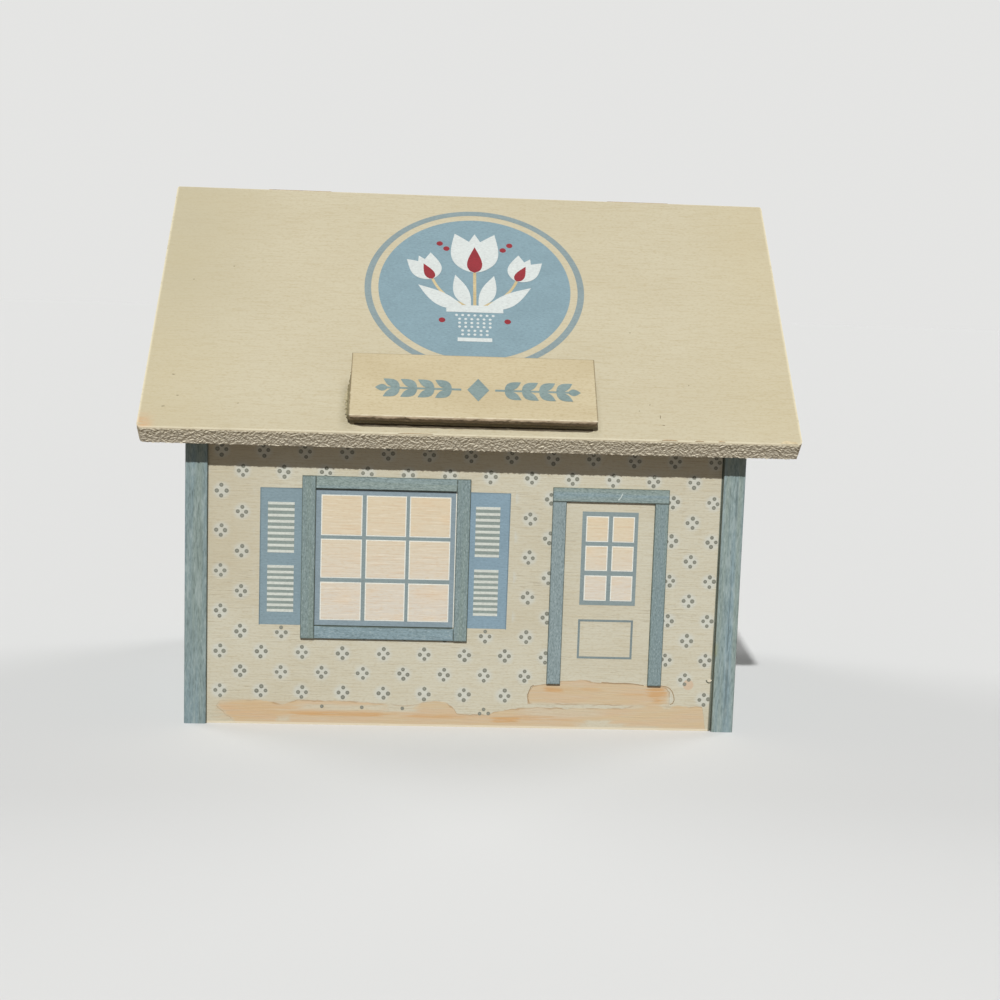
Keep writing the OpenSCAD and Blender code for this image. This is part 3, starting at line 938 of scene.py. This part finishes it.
# The first row stands a little to the right, and none stands on the wall's very ends
FOOT_ROW_SHIFT = 0.3
FLORET_REACH = 70


def floret(x, z, wobble):
    def stray():
        return wobble.uniform(-DOT_STRAY, DOT_STRAY)

    return [
        disc(x + dx + stray(), z + dz + stray(), DOT_R * wobble.uniform(0.9, 1.08), 14)
        for dx, dz in ((DOT_OFF_X, 0), (-DOT_OFF_X, 0), (0, DOT_OFF_Z), (0, -DOT_OFF_Z))
    ]


def clear_of_prints(x, z):
    """Whether a floret stands on open wall, off the shutters, the window, the door and its step."""
    in_window = NO_FLORETS_X[0] < x < NO_FLORETS_X[1] and NO_FLORETS_Z[0] < z < NO_FLORETS_Z[1]
    in_door = DOORWAY_X[0] < x < DOORWAY_X[1] and z < DOORWAY_TOP
    on_step = STEP_LEFT - 1 < x < STEP_RIGHT + 1 and z < 13
    return not (in_window or in_door or on_step)


def print_florets():
    wobble = random.Random(7)
    dots = []
    for row in range(FLORET_ROWS):
        shift = row * FLORET_LEAN_X + (0 if row else FOOT_ROW_SHIFT)
        drop = UPPER_DROP if row >= UPPER_ROWS else 0
        for column in range(row % 2, FLORET_COLUMNS + 1, 2):
            x = FLORET_X + column * FLORET_STEP_X + shift
            z = FLORET_Z + row * FLORET_STEP_Z + column * FLORET_LEAN_Z - drop
            if abs(x) < FLORET_REACH and clear_of_prints(x, z):
                dots += floret(x, z, wobble)
    return dots + [disc(x, z, DOT_R * 0.9) for x, z in LONE_DOTS]


def hearts(dots):
    """A smaller disc in the middle of each dot, where the ink is thinner."""
    middles = [(sum(x for x, z in dot) / len(dot), sum(z for x, z in dot) / len(dot)) for dot in dots]
    return [disc(x, z, DOT_R * 0.42, 8) for x, z in middles]


def louvres(side):
    bars, grounds = [], []
    left, right = LOUVRES[side]
    for top, bottom in LOUVRE_GROUPS:
        step = (top - bottom) / (LOUVRE_COUNT - 1)
        for i in range(LOUVRE_COUNT):
            z = top - i * step
            bars.append(rectangle(left, right, z - LOUVRE_H / 2, z + LOUVRE_H / 2))
        grounds.append(rectangle(left, right, bottom, top))
    return bars, grounds


WINDOW = (-41.72, -3.1, 28.3, 67.1)
WINDOW_COLUMNS = ((-40.25, -28.9), (-27.8, -16.72), (-15.8, -4.4))
WINDOW_ROWS = ((54.0, 65.35), (42.05, 53.0), (30.1, 40.9))
DOOR_FRAME = (32.3, 48.05, 35.9, 62.4)
DOOR_COLUMNS = ((33.45, 39.75), (40.9, 47.04))
DOOR_ROWS = ((53.91, 61.12), (45.68, 52.76), (37.18, 44.35))
DOOR_PANEL = (32.2, 47.75, 20.5, 31.75)
DOOR_PANEL_LINE = 0.6
SILL_LINE = (-41.7, -3.1, 28.3, 28.62)
# Painted shadow cast by the window's head: a dark strip just under it
HEAD_SHADOW = (-41.7, -3.1, 66.78, 67.08)
WINDOW_GAP = (-3.06, -2.8, 28.7, 66.95)
PANE_RIM = 0.28


def outer_edge(side, outline):
    """A thin line along a shutter's top and along the side that is away from the window."""
    low_left, low_right, high_right, high_left = outline
    path = [low_left, high_left, high_right] if side == "left" else [low_right, high_right, high_left]
    inward = 0.1 if side == "left" else -0.1
    return ribbon([(x + inward, z - 0.1) for x, z in path], 0.3)


def panes(columns, rows, inset):
    return [
        rectangle(left + inset, right - inset, low + inset, high - inset)
        for left, right in columns
        for low, high in rows
    ]


def glazing_bars(columns, rows):
    """The bars between panes, in pieces that meet without overlap."""
    columns, rows = sorted(columns), sorted(rows)
    uprights = [rectangle(a[1], b[0], rows[0][0], rows[-1][1]) for a, b in zip(columns, columns[1:])]
    rails = [rectangle(*column, a[1], b[0]) for a, b in zip(rows, rows[1:]) for column in columns]
    return uprights + rails


def make_wall_prints():
    bar_blue = ink("window_blue", WINDOW_BLUE, 0.92, 2.0)
    line_blue = ink("panel_line_blue", shade(WINDOW_BLUE, 0.84), shade(WINDOW_BLUE, 0.76), 8.0)
    frame_blue = ink("frame_blue", FRAME_BLUE, 0.94, 2.5)
    louvre_shade = ink("louvre_shade", LOUVRE_SHADE, 0.9, 3.0)
    louvre_cream = ink("louvre_cream", LOUVRE_CREAM, 0.93, 4.0)
    # Dark ink for the line above the sill and for the painted shadow under the window's head
    dark_line_and_shadow = ink("sill_line", TRIM_DARK, 0.8, 9.0)
    brown = ink("step_line", rgb(150, 132, 104), rgb(170, 142, 108), 10.0)
    white = ink("pane_white", PANE_EDGE, 0.95, 6.0)
    florets = print_florets()
    prints = [
        ("wall_florets", florets, 1, ink("floret_blue", DOT_BLUE, 0.85, 5.0)),
        ("wall_floret_hearts", hearts(florets), 2, ink("floret_thin", DOT_HEART, 0.9, 7.0)),
    ]
    for side, outline in SHUTTERS.items():
        bars, grounds = louvres(side)
        tone = SHUTTER_BLUES[side]
        blue = ink(side + "_shutter_blue", tone, 0.93, 1.0)
        deep = ink(side + "_shutter_edge", shade(tone, 0.72), shade(tone, 0.64), 1.5)
        prints += [
            (side + "_shutter_print", [outline], 1, blue),
            (side + "_shutter_edge", [outer_edge(side, outline)], 2, deep),
            (side + "_louvre_shades", grounds, 2, louvre_shade),
            (side + "_louvre_bars", bars, 3, louvre_cream),
        ]
    prints += [
        ("window_print", [rectangle(*WINDOW)], 1, frame_blue),
        ("window_bars", glazing_bars(WINDOW_COLUMNS, WINDOW_ROWS), 2, bar_blue),
        ("window_pane_edges", panes(WINDOW_COLUMNS, WINDOW_ROWS, 0), 2, white),
        ("window_panes", panes(WINDOW_COLUMNS, WINDOW_ROWS, PANE_RIM), 3, pane_paint("window_pane_peach", 30, 66)),
        ("door_window_print", [rectangle(*DOOR_FRAME)], 1, bar_blue),
        ("door_pane_edges", panes(DOOR_COLUMNS, DOOR_ROWS, 0), 2, white),
        ("door_panes", panes(DOOR_COLUMNS, DOOR_ROWS, PANE_RIM), 3, pane_paint("door_pane_peach", 37, 61)),
        ("door_panel_line", [border(*DOOR_PANEL, DOOR_PANEL_LINE)], 1, line_blue),
        ("window_sill_line", [rectangle(*SILL_LINE)], 2, dark_line_and_shadow),
        ("window_head_line", [rectangle(*HEAD_SHADOW)], 2, dark_line_and_shadow),
        ("window_gap", [rectangle(*WINDOW_GAP)], 1, white),
        ("doorstep_lines", [ribbon(line, 0.24) for line in STEP_LINES], 1, brown),
    ]
    for name, outlines, layer, material in prints:
        make_print(name, outlines, on_wall, layer, material)


# The lid's oval, with a pot of tulips in it

OVAL_X = 1.3
OVAL_S = 56.5
OVAL_WIDE = 32.0
OVAL_TALL = 32.65
RING_W = 1.9
RING_GAP = 2.1
POT_TOP = 47.5
POT_LOW = 36.5
POT_WIDE = 14.4
POT_NARROW = 10.0
POLKA_STEP = 1.75
POLKA_ROW_STEP = POLKA_STEP * 0.87
POLKA_MARGIN = 1.2


def tulip(x, s, tall, wide, lean):
    """The petals of one flower, from the top of its stem, and the drop at its heart."""
    petals = [
        leaf(x, s, tall, wide * 0.62, lean - 16, 0.75, -wide * 0.08),
        leaf(x, s, tall, wide * 0.62, lean + 16, 0.75, wide * 0.08),
        leaf(x, s, tall * 0.94, wide * 0.5, lean, 0.7),
    ]
    heart = leaf(x, s, tall * 0.62, wide * 0.3, lean, 0.6)
    return petals, heart


def polka_dots(top, low):
    dots = []
    for row in range(int((top - low) / POLKA_ROW_STEP)):
        s = top - (row + 0.5) * POLKA_ROW_STEP
        wide = POT_NARROW + (POT_WIDE - POT_NARROW) * (s - low) / (top - low) - POLKA_MARGIN
        count = int(wide / POLKA_STEP)
        start = OVAL_X - (count - 1) * POLKA_STEP / 2
        dots += [disc(start + i * POLKA_STEP, s, 0.42, 12) for i in range(count)]
    return dots


def oval(inset):
    return ellipse(OVAL_X, OVAL_S, OVAL_WIDE - inset, OVAL_TALL - inset)


def make_oval():
    ring_blue = lid_ink("ring_blue", RING_BLUE, 0.93, 11.0)
    field_blue = lid_ink("oval_blue", FIELD_BLUE, 0.93, 12.0)
    white = lid_ink("motif_white", MOTIF_WHITE, 0.96, 13.0)
    cream = lid_ink("motif_cream", rgb(196, 180, 140), rgb(186, 168, 126), 14.0)
    red = lid_ink("motif_red", MOTIF_RED, 0.85, 15.0)
    flowers = [tulip(OVAL_X, 62.5, 17.5, 15.0, 0)]
    stems = [ribbon([(OVAL_X, 48.5), (OVAL_X, 56.0), (OVAL_X, 63.5)], 0.9)]
    centre_leaves, low_leaves, berries = [], [], []
    for side in (-1, 1):
        flowers.append(tulip(OVAL_X + side * 12.3, 59.5, 11.0, 10.0, side * 24))
        stems.append(ribbon(arc((OVAL_X, 48.5), (OVAL_X + side * 9.5, 50.5), (OVAL_X + side * 12.5, 60.2)), 0.8))
        centre_leaves.append(leaf(OVAL_X + side * 1.2, 48.5, 13.5, 4.6, side * 30, 0.9, -side * 2.6))
        low_leaves.append(leaf(OVAL_X + side * 3.0, 48.2, 15.5, 5.2, side * 72, 0.9, -side * 4.2))
    for off, s in ((8.4, 72.5), (10.4, 74.6), (9.4, 43.0)):
        berries += [disc(OVAL_X + side * off, s, 0.95) for side in (-1, 1)]
    rim_plate = rectangle(OVAL_X - 8.2, OVAL_X + 8.2, POT_TOP - 1.2, POT_TOP + 1.6)
    foot_plate = rectangle(OVAL_X - 4.9, OVAL_X + 4.9, POT_LOW - 1.7, POT_LOW - 0.3)
    for name, outlines, layer, material in (
        ("oval_ring", [(oval(0), oval(RING_W))], 1, ring_blue),
        ("oval_field", [oval(RING_W + RING_GAP)], 1, field_blue),
        ("motif_stems", stems, 2, cream),
        ("motif_leaves", centre_leaves + low_leaves, 3, white),
        ("motif_side_petals", [petals[0] for petals, heart in flowers], 4, white),
        ("motif_petals", [petals[1] for petals, heart in flowers], 5, white),
        ("motif_front_petals", [petals[2] for petals, heart in flowers], 6, white),
        ("motif_hearts", [heart for petals, heart in flowers], 7, red),
        ("motif_pot_dots", polka_dots(POT_TOP - 1.6, POT_LOW), 2, white),
        ("motif_pot_rim", [rim_plate, foot_plate], 4, white),
        ("motif_berries", berries, 2, red),
    ):
        make_print(name, outlines, on_lid, layer, material)


# The sign's ornament: a diamond with a leafy spray to either side

SIGN_MID_X = 1.95
SIGN_MID_S = 13.1
DIAMOND_WIDE = 3.0
DIAMOND_TALL = 4.1


def make_sign_print():
    blue = lid_ink("sign_blue", rgb(126, 144, 142), rgb(112, 131, 130), 21.0)
    x, s = SIGN_MID_X, SIGN_MID_S
    diamond = [(x, s - DIAMOND_TALL), (x + DIAMOND_WIDE, s), (x, s + DIAMOND_TALL), (x - DIAMOND_WIDE, s)]
    spray = []
    for i in range(4):
        root = x + 7.2 + i * 4.7
        spray.append(leaf(root, s + 0.2, 5.4, 2.7, 50, 0.9, 0.6))
        spray.append(leaf(root, s - 0.2, 5.4, 2.7, 130, 0.9, -0.6))
    spray.append(leaf(x + 24.4, s, 3.6, 2.4, 90, 0.9))
    stem = ribbon([(x + 4.6, s), (x + 15, s), (x + 25.5, s)], 0.7)
    shapes = [diamond] + spray + [mirrored(outline, x) for outline in spray]
    make_print("sign_ornament", shapes, on_sign, 2, blue)
    make_print("sign_ornament_stems", [stem, mirrored(stem, x)], on_sign, 1, blue)


# Rough ends: torn fibres that stand proud of the boards' sawn ends. Their skins stay inside the ends'
# outlines by EDGE_IN, reach PLATE_DEPTH into the boards, and have faces of about a cell's size.

FIBRE_LONG = 0.95
FIBRE_WIDE = 0.38
EAVE_TILT = 0.4
FIBRE_SLANT = math.radians(28)
PLATE_DEPTH = 0.9
FRAY_LENGTH = 17.5
FACE_ROUND = 0.6
CORNER_ROUND = 1.4
EDGE_IN = 0.15
EAVE_CELL = 0.21
GABLE_CELL = 0.4
RIDGE_GAP = 9.0


def ripple(u, v, w):
    """Smooth noise that goes below and above 0."""
    return noise.noise(Vector((u, v, w)))


def recess(inward, radius):
    """How far a rounded edge falls back at a place that lies inward from its end."""
    if inward >= radius:
        return 0.0
    return radius - math.sqrt(radius**2 - (radius - max(inward, 0.0)) ** 2)


def fibre_height(u, v, seed):
    """Torn fibres that slant one way or the other from patch to patch, from about -0.5 to 0.5."""
    share = min(max(0.5 + 2.2 * ripple(u / 2.6, v / 2.2, seed), 0.0), 1.0)
    height = 0.0
    for way, weight in ((1, share), (-1, 1 - share)):
        a = u * math.cos(FIBRE_SLANT) + way * v * math.sin(FIBRE_SLANT)
        b = v * math.cos(FIBRE_SLANT) - way * u * math.sin(FIBRE_SLANT)
        height += weight * ripple(a / FIBRE_LONG, b / FIBRE_WIDE, seed + 9 * way)
    return height + 0.35 * ripple(u / 0.5, v / 0.4, seed + 30)


def smooth(value, start, end):
    t = min(max((value - start) / (end - start), 0.0), 1.0)
    return t * t * (3 - 2 * t)


def rough_end(name, place, length, width, cell, height, material, body, slot):
    """A closed skin over a board's end. place takes how far along, how far across and how proud."""
    columns, rows = round(length / cell), round(width / cell)
    bm = bmesh.new()
    top = []
    for i in range(columns + 1):
        u = length * i / columns
        line = []
        for j in range(rows + 1):
            v = width * j / rows
            border = min(u, length - u, v, width - v)
            proud = height(u, v) * smooth(border, 0.0, 0.45) - 0.06 * (1 - smooth(border, 0.0, 0.3))
            line.append(bm.verts.new(place(u, v, proud)))
        top.append(line)
    for i in range(columns):
        for j in range(rows):
            bm.faces.new((top[i][j], top[i + 1][j], top[i + 1][j + 1], top[i][j + 1]))
    ring = [(i, 0) for i in range(columns)] + [(columns, j) for j in range(rows)]
    ring += [(i, rows) for i in range(columns, 0, -1)] + [(0, j) for j in range(rows, 0, -1)]
    base = [bm.verts.new(place(length * i / columns, width * j / rows, None)) for i, j in ring]
    for k, (i, j) in enumerate(ring):
        m = (k + 1) % len(ring)
        bm.faces.new((top[i][j], top[ring[m][0]][ring[m][1]], base[m], base[k]))
    bm.faces.new(base)
    add_piece(name, bm, material, body, slot)


def board_end(start, along, across, out, length, width, rounds):
    """A place on a board's end, whose rims are rounded by those radii along and across."""

    def place(u, v, proud):
        if proud is None:
            proud = -PLATE_DEPTH
        else:
            proud -= recess(min(u, length - u) + EDGE_IN, rounds[0])
            proud -= recess(min(v, width - v) + EDGE_IN, rounds[1])
        return (start + along * (u + EDGE_IN) + across * (v + EDGE_IN) + out * proud) * MM

    return place


def make_board_end(name, along, span, way, far, board, cell, seed, height):
    """The rough end of a roof board, which runs along one direction over a span and looks another way."""
    out, face, body, slot = board
    start = along * span[0] + way * far + out * (face - BOARD_T)
    length, width = span[1] - span[0] - 2 * EDGE_IN, BOARD_T - 2 * EDGE_IN
    place = board_end(start, along, out, way, length, width, (CORNER_ROUND, FACE_ROUND))
    material = torn_fibre(name, way, far, seed)
    rough_end(name, place, length, width, cell, height, material, body, slot)


def make_roof_ends(name, slope, gable_span, down, end, board, cell):
    """The rough lower end of a roof board and its ends over the two gables."""
    width = BOARD_T - 2 * EDGE_IN

    def eave_height(u, v):
        return 0.1 + EAVE_TILT * (1 - v / width) + 0.27 * fibre_height(u, v, end)

    eave_span = (LID_LEFT, LID_RIGHT)
    make_board_end(name + "_eave_fibres", ACROSS, eave_span, down, end, board, cell, 3.0, eave_height)
    for side, way, far in (("left", -ACROSS, -LID_LEFT), ("right", ACROSS, LID_RIGHT)):

        def gable_height(u, v, seed=40 + far):
            return min(0.02 + 0.26 * fibre_height(u, v, seed), 0.12)

        side_name = f"{name}_{side}_fibres"
        make_board_end(side_name, slope, gable_span, way, far, board, GABLE_CELL, 5.0, gable_height)


def make_sign_ends():
    """The ragged left end of the sign, widest a little above its lower corner, and its torn lower end."""
    length, width = FRAY_LENGTH, SIGN_FACE - SIGN_BACK - 2 * EDGE_IN
    start = ACROSS * SIGN_LEFT + UP_SLOPE * (SIGN_LOW + 0.1) + LID_OUT * SIGN_BACK
    place = board_end(start, UP_SLOPE, LID_OUT, -ACROSS, length, width, (0.3, 0.3))
    # Its fibres are painted darker, as painted shade
    material = torn_fibre("sign_fray_fibres", -ACROSS, -SIGN_LEFT + 0.5, 7.0, FRAY_TONES_PAINTED_SHADE)

    def frayed(u, v):
        span = smooth(u, -3.0, 4.5) * smooth(u, length, 5.5)
        slope = 1.0 - 0.8 * v / width
        tufts = ripple(u / 0.7, v / 0.9, 4.0)
        return span * slope * (1.35 + 1.3 * tufts) + 0.35 * fibre_height(u, v, 70.0)

    rough_end("sign_fray", place, length, width, 0.22, frayed, material, "lid", "sign_paint")
    long = SIGN_RIGHT - SIGN_LEFT - 2 * EDGE_IN
    start = ACROSS * SIGN_LEFT + UP_SLOPE * SIGN_LOW + LID_OUT * SIGN_BACK
    place = board_end(start, ACROSS, LID_OUT, -UP_SLOPE, long, width, (0.3, 0.2))

    def torn(u, v):
        waves = ripple(u / 4.0, 2.0, 5.0) + 0.6 * ripple(u / 1.2, v / 1.5, 6.0)
        return 0.14 + 0.16 * waves + 0.12 * fibre_height(u, v, 80.0)

    rough_end("sign_low_end", place, long, width, 0.3, torn, sign_end_paint(), "lid", "sign_paint")


def make_rough_ends():
    lid = (LID_OUT, LID_FACE, "lid", "lid_paint")
    rear = (REAR_OUT, REAR_FACE, "house", "roof_paint")
    make_roof_ends("lid", UP_SLOPE, (LID_LOW, LID_HIGH - RIDGE_GAP), -UP_SLOPE, -LID_LOW, lid, EAVE_CELL)
    make_roof_ends("rear", DOWN_REAR, (REAR_TOP + RIDGE_GAP, REAR_END), DOWN_REAR, REAR_END, rear, GABLE_CELL)
    make_sign_ends()


# Marks of use, and painted shade in the wall's joint and painted shadow at the sign's foot

# Chips out of the lid's lower edge: left and right ends, and how tall
NICKS = ((-19.5, -10.0, 0.2), (51.8, 56.2, 0.4), (60.9, 63.4, 0.25), (67.3, 69.2, 0.4))
# Small dents and specks on the lid: how far across and up, how long, and their lean
DENTS = (
    (-81.7, 19.2, 0.9, 95), (-79.7, 11.6, 0.8, 92), (-83.2, 7.5, 1.1, 80), (-80.0, 56.2, 0.5, 90),
    (45.5, 40.1, 0.6, 70), (49.4, 12.7, 0.6, 20), (46.2, 10.6, 0.4, 90), (52.05, 8.0, 1.4, 2),
    (52.4, 5.7, 0.8, 95), (61.0, 20.4, 0.4, 0), (-63.1, 9.4, 0.5, 90), (-69.0, 62.0, 0.5, 60),
)
CORNER_CHIP = (84.4, 89.2, 1.15)
SCRATCH = ((42.0, 65.8), (42.7, 66.6), (43.2, 67.7))
FLAKE = (70.3, 14.4)


def nick(left, right, tall):
    """A shallow chip out of the lid's lower edge."""
    steps = 12
    top = []
    for i in range(steps + 1):
        t = i / steps
        rise = math.sin(math.pi * t) ** 0.5 * (0.85 + 0.15 * math.cos(9 * t))
        top.append((right + (left - right) * t, 0.3 + tall * rise))
    return [(left, 0.25), (right, 0.25)] + top[1:-1]


def make_joint_shade():
    """A dark strip in the joint between the wall and the right panel, with a wavering edge: painted shade of the
    open joint.
    """
    inner = reach("right_side", ACROSS)[0]
    left, right = [], []
    for i in range(JOINT_SHADE_STEPS + 1):
        z = 0.4 + 83.6 * i / JOINT_SHADE_STEPS
        left.append((WALL_RIGHT - 0.03, z))
        right.append((inner - 0.02 - 0.1 * abs(ripple(z / 2.5, 1.0, 0.0)), z))
    paint = ink("joint_shade_ink", rgb(104, 110, 98), rgb(84, 90, 78), 36.0)
    make_print("joint_shade_strip", [left + right[::-1]], in_joint, 2, paint)


def make_sign_foot_shadow():
    """Painted shadow in a thin line on the lid along the sign's foot."""
    low = SIGN_LOW - LID_LOW
    steps = 90
    edge = []
    for i in range(steps + 1):
        x = SIGN_LEFT + 1.4 + (SIGN_RIGHT - SIGN_LEFT - 2.4) * i / steps
        taper = smooth(i, -1, 3) * smooth(i, steps + 1, steps - 2)
        edge.append((x, low - 0.55 * taper - 0.12 * ripple(x / 2.0, 3.0, 0.0)))
    back = [(SIGN_RIGHT - 1.0, low + 0.6), (SIGN_LEFT + 1.4, low + 0.6)]
    foot_shadow = lid_ink("sign_foot_shadow", rgb(94, 85, 68), rgb(84, 75, 58), 37.0)
    make_print("sign_foot_shadow", [edge + back], on_lid, 1, foot_shadow)


def make_marks():
    bare = lid_ink("chip_brown", rgb(186, 166, 134), rgb(164, 142, 110), 31.0)
    pale = lid_ink("chip_pale", rgb(216, 204, 172), rgb(190, 172, 136), 32.0)
    dent = lid_ink("dent_brown", rgb(122, 110, 84), rgb(104, 92, 68), 38.0)
    white = ink("scratch_white", rgb(196, 206, 200), rgb(176, 190, 188), 33.0)
    flake = ink("flake_white", rgb(226, 218, 196), rgb(206, 196, 170), 34.0)
    shadow = ink("flake_shade", PAINTED_SHADE, 0.9, 35.0)
    dents = [leaf(x, s, long, 0.22, lean) for x, s, long, lean in DENTS]
    x, z = FLAKE
    curl = ribbon(arc((x - 0.9, z + 0.5), (x - 0.5, z - 0.7), (x + 0.5, z - 0.1)), 0.28)
    make_print("lid_edge_nicks", [nick(*place) for place in NICKS], on_lid, 1, bare)
    make_print("lid_corner_chip", [nick(*CORNER_CHIP)], on_lid, 1, pale)
    make_print("lid_dents", dents, on_lid, 1, dent)
    make_print("door_head_scratch", [ribbon(SCRATCH, 0.32)], on_trim, 1, white)
    make_print("wall_flake_shade", [curl], on_wall, 2, shadow)
    make_print("wall_flake", [leaf(x - 0.5, z + 0.1, 1.3, 0.8, 70)], on_wall, 3, flake)
    make_joint_shade()
    make_sign_foot_shadow()


# Finishes of the boards and fittings


def dress_nodes():
    wood = bare_wood()
    lid_ends, rear_ends = (LID_LOW, LID_HIGH), (REAR_TOP, REAR_END)
    finishes = {
        "front_wall": front_paint(),
        "back_wall": back_paint(),
        "floor": wood,
        "sign_cleat": wood,
        "lid_panel": roof_paint("lid_cream", UP_SLOPE, -UP_SLOPE, LID_OUT, lid_ends, 0.0, sign_side_shade),
        "rear_roof": roof_paint("rear_cream", DOWN_REAR, DOWN_REAR, REAR_OUT, rear_ends, 80.0),
        "sign_plaque": sign_paint(),
        "rear_roof_brads": brad_paint("rear_brad_cream", LID_CREAM, LID_GRAIN),
    }
    sides = side_paint()
    side_brads = brad_paint("side_brad_blue", POST_BLUE, BLUE_DEEP)
    for side in ("left", "right"):
        finishes[side + "_side"] = sides
        finishes[side + "_side_brads"] = side_brads
    leaf_brass, screw_brass = brass("hinge_brass", 0.0), brass("screw_brass", 30.0)
    for name in NODES:
        if name in TRIM_TONES:
            finishes[name] = trim_paint(name)
        elif name.endswith("_screws"):
            finishes[name] = screw_brass
        elif "_hinge_" in name:
            finishes[name] = leaf_brass
    for name, material in finishes.items():
        mesh = NODES[name].data
        mesh.materials.clear()
        mesh.materials.append(material)


# Camera, matched to the photograph's view of the box

CAMERA_AT = Vector((-13.8, -472.0, 118.7)) * MM
CAMERA_TILT = 7.37
CAMERA_PAN = -3.13
CAMERA_ROLL = 1.44
CAMERA_LENS = 54.3

# Lamps: where each one's light comes from, its spread in degrees and its strength
KEY_FROM = Vector((-0.10, -0.742, 0.663))
KEY_SPREAD = 1.5
KEY_STRENGTH = 3.36
FILLS_FROM = {"fill_left": Vector((-0.78, 0.50, 0.38)), "fill_right": Vector((0.78, 0.50, 0.38))}
FILL_SPREAD = 30
FILL_STRENGTH = 1.1
# How far the floor reaches, in metres, and the world's and the floor's colours: each has one that
# lights the object and one that is seen
STAGE = 20.0
AMBIENT = (0.165, 0.155, 0.150, 1)
PALE = (0.78, 0.78, 0.77, 1)
FLOOR_BOUNCE = (0.212, 0.189, 0.171, 1)
FLOOR_PALE = (0.666, 0.673, 0.667, 1)


def make_camera():
    data = bpy.data.cameras.new("camera")
    data.sensor_width = 36.0
    data.lens = CAMERA_LENS
    data.clip_start = 0.01
    data.clip_end = 40.0
    camera = bpy.data.objects.new("camera", data)
    bpy.context.scene.collection.objects.link(camera)
    camera.location = CAMERA_AT
    camera.rotation_mode = "ZYX"
    camera.rotation_euler = [math.radians(a) for a in (90 - CAMERA_TILT, CAMERA_PAN, CAMERA_ROLL)]
    bpy.context.scene.camera = camera


def make_lamp(name, source, spread, strength):
    """Even light from far off, its spread setting how soft the shadows are."""
    data = bpy.data.lights.new(name, "SUN")
    data.angle = math.radians(spread)
    data.energy = strength
    lamp = bpy.data.objects.new(name, data)
    bpy.context.scene.collection.objects.link(lamp)
    lamp.rotation_euler = (-source).to_track_quat("-Z", "Y").to_euler()


def two_tone(tree, unseen, seen, target):
    """One colour as light falls on the object, another for the camera, in reflections and through glass."""
    path = tree.nodes.new("ShaderNodeLightPath")
    rays = [Field(path.outputs[name]) for name in ("Is Camera Ray", "Is Glossy Ray", "Is Transmission Ray")]
    put(target, mix(highest(highest(rays[0], rays[1]), rays[2]), unseen, seen))


def make_stage():
    mesh = bpy.data.meshes.new("stage_floor")
    mesh.from_pydata([(x, y, 0) for x, y in rectangle(-STAGE, STAGE, -STAGE, STAGE)], [], [(0, 1, 2, 3)])
    floor = bpy.data.objects.new("stage_floor", mesh)
    bpy.context.scene.collection.objects.link(floor)
    material = bpy.data.materials.new("pale_floor")
    material.use_nodes = True
    shader = material.node_tree.nodes["Principled BSDF"]
    two_tone(material.node_tree, FLOOR_BOUNCE, FLOOR_PALE, shader.inputs["Base Color"])
    shader.inputs["Roughness"].default_value = 0.9
    shader.inputs["Specular IOR Level"].default_value = 0.1
    mesh.materials.append(material)


def make_world():
    world = bpy.data.worlds.new("studio")
    bpy.context.scene.world = world
    world.use_nodes = True
    back = world.node_tree.nodes["Background"]
    two_tone(world.node_tree, AMBIENT, PALE, back.inputs["Color"])
    back.inputs["Strength"].default_value = 1.0


make_camera()
make_world()
make_stage()
make_lamp("key", KEY_FROM, KEY_SPREAD, KEY_STRENGTH)
for lamp, source in FILLS_FROM.items():
    make_lamp(lamp, source, FILL_SPREAD, FILL_STRENGTH)
dress_nodes()
make_wall_prints()
make_oval()
make_sign_print()
make_rough_ends()
make_marks()

bpy.context.scene.view_settings.view_transform = "Standard"
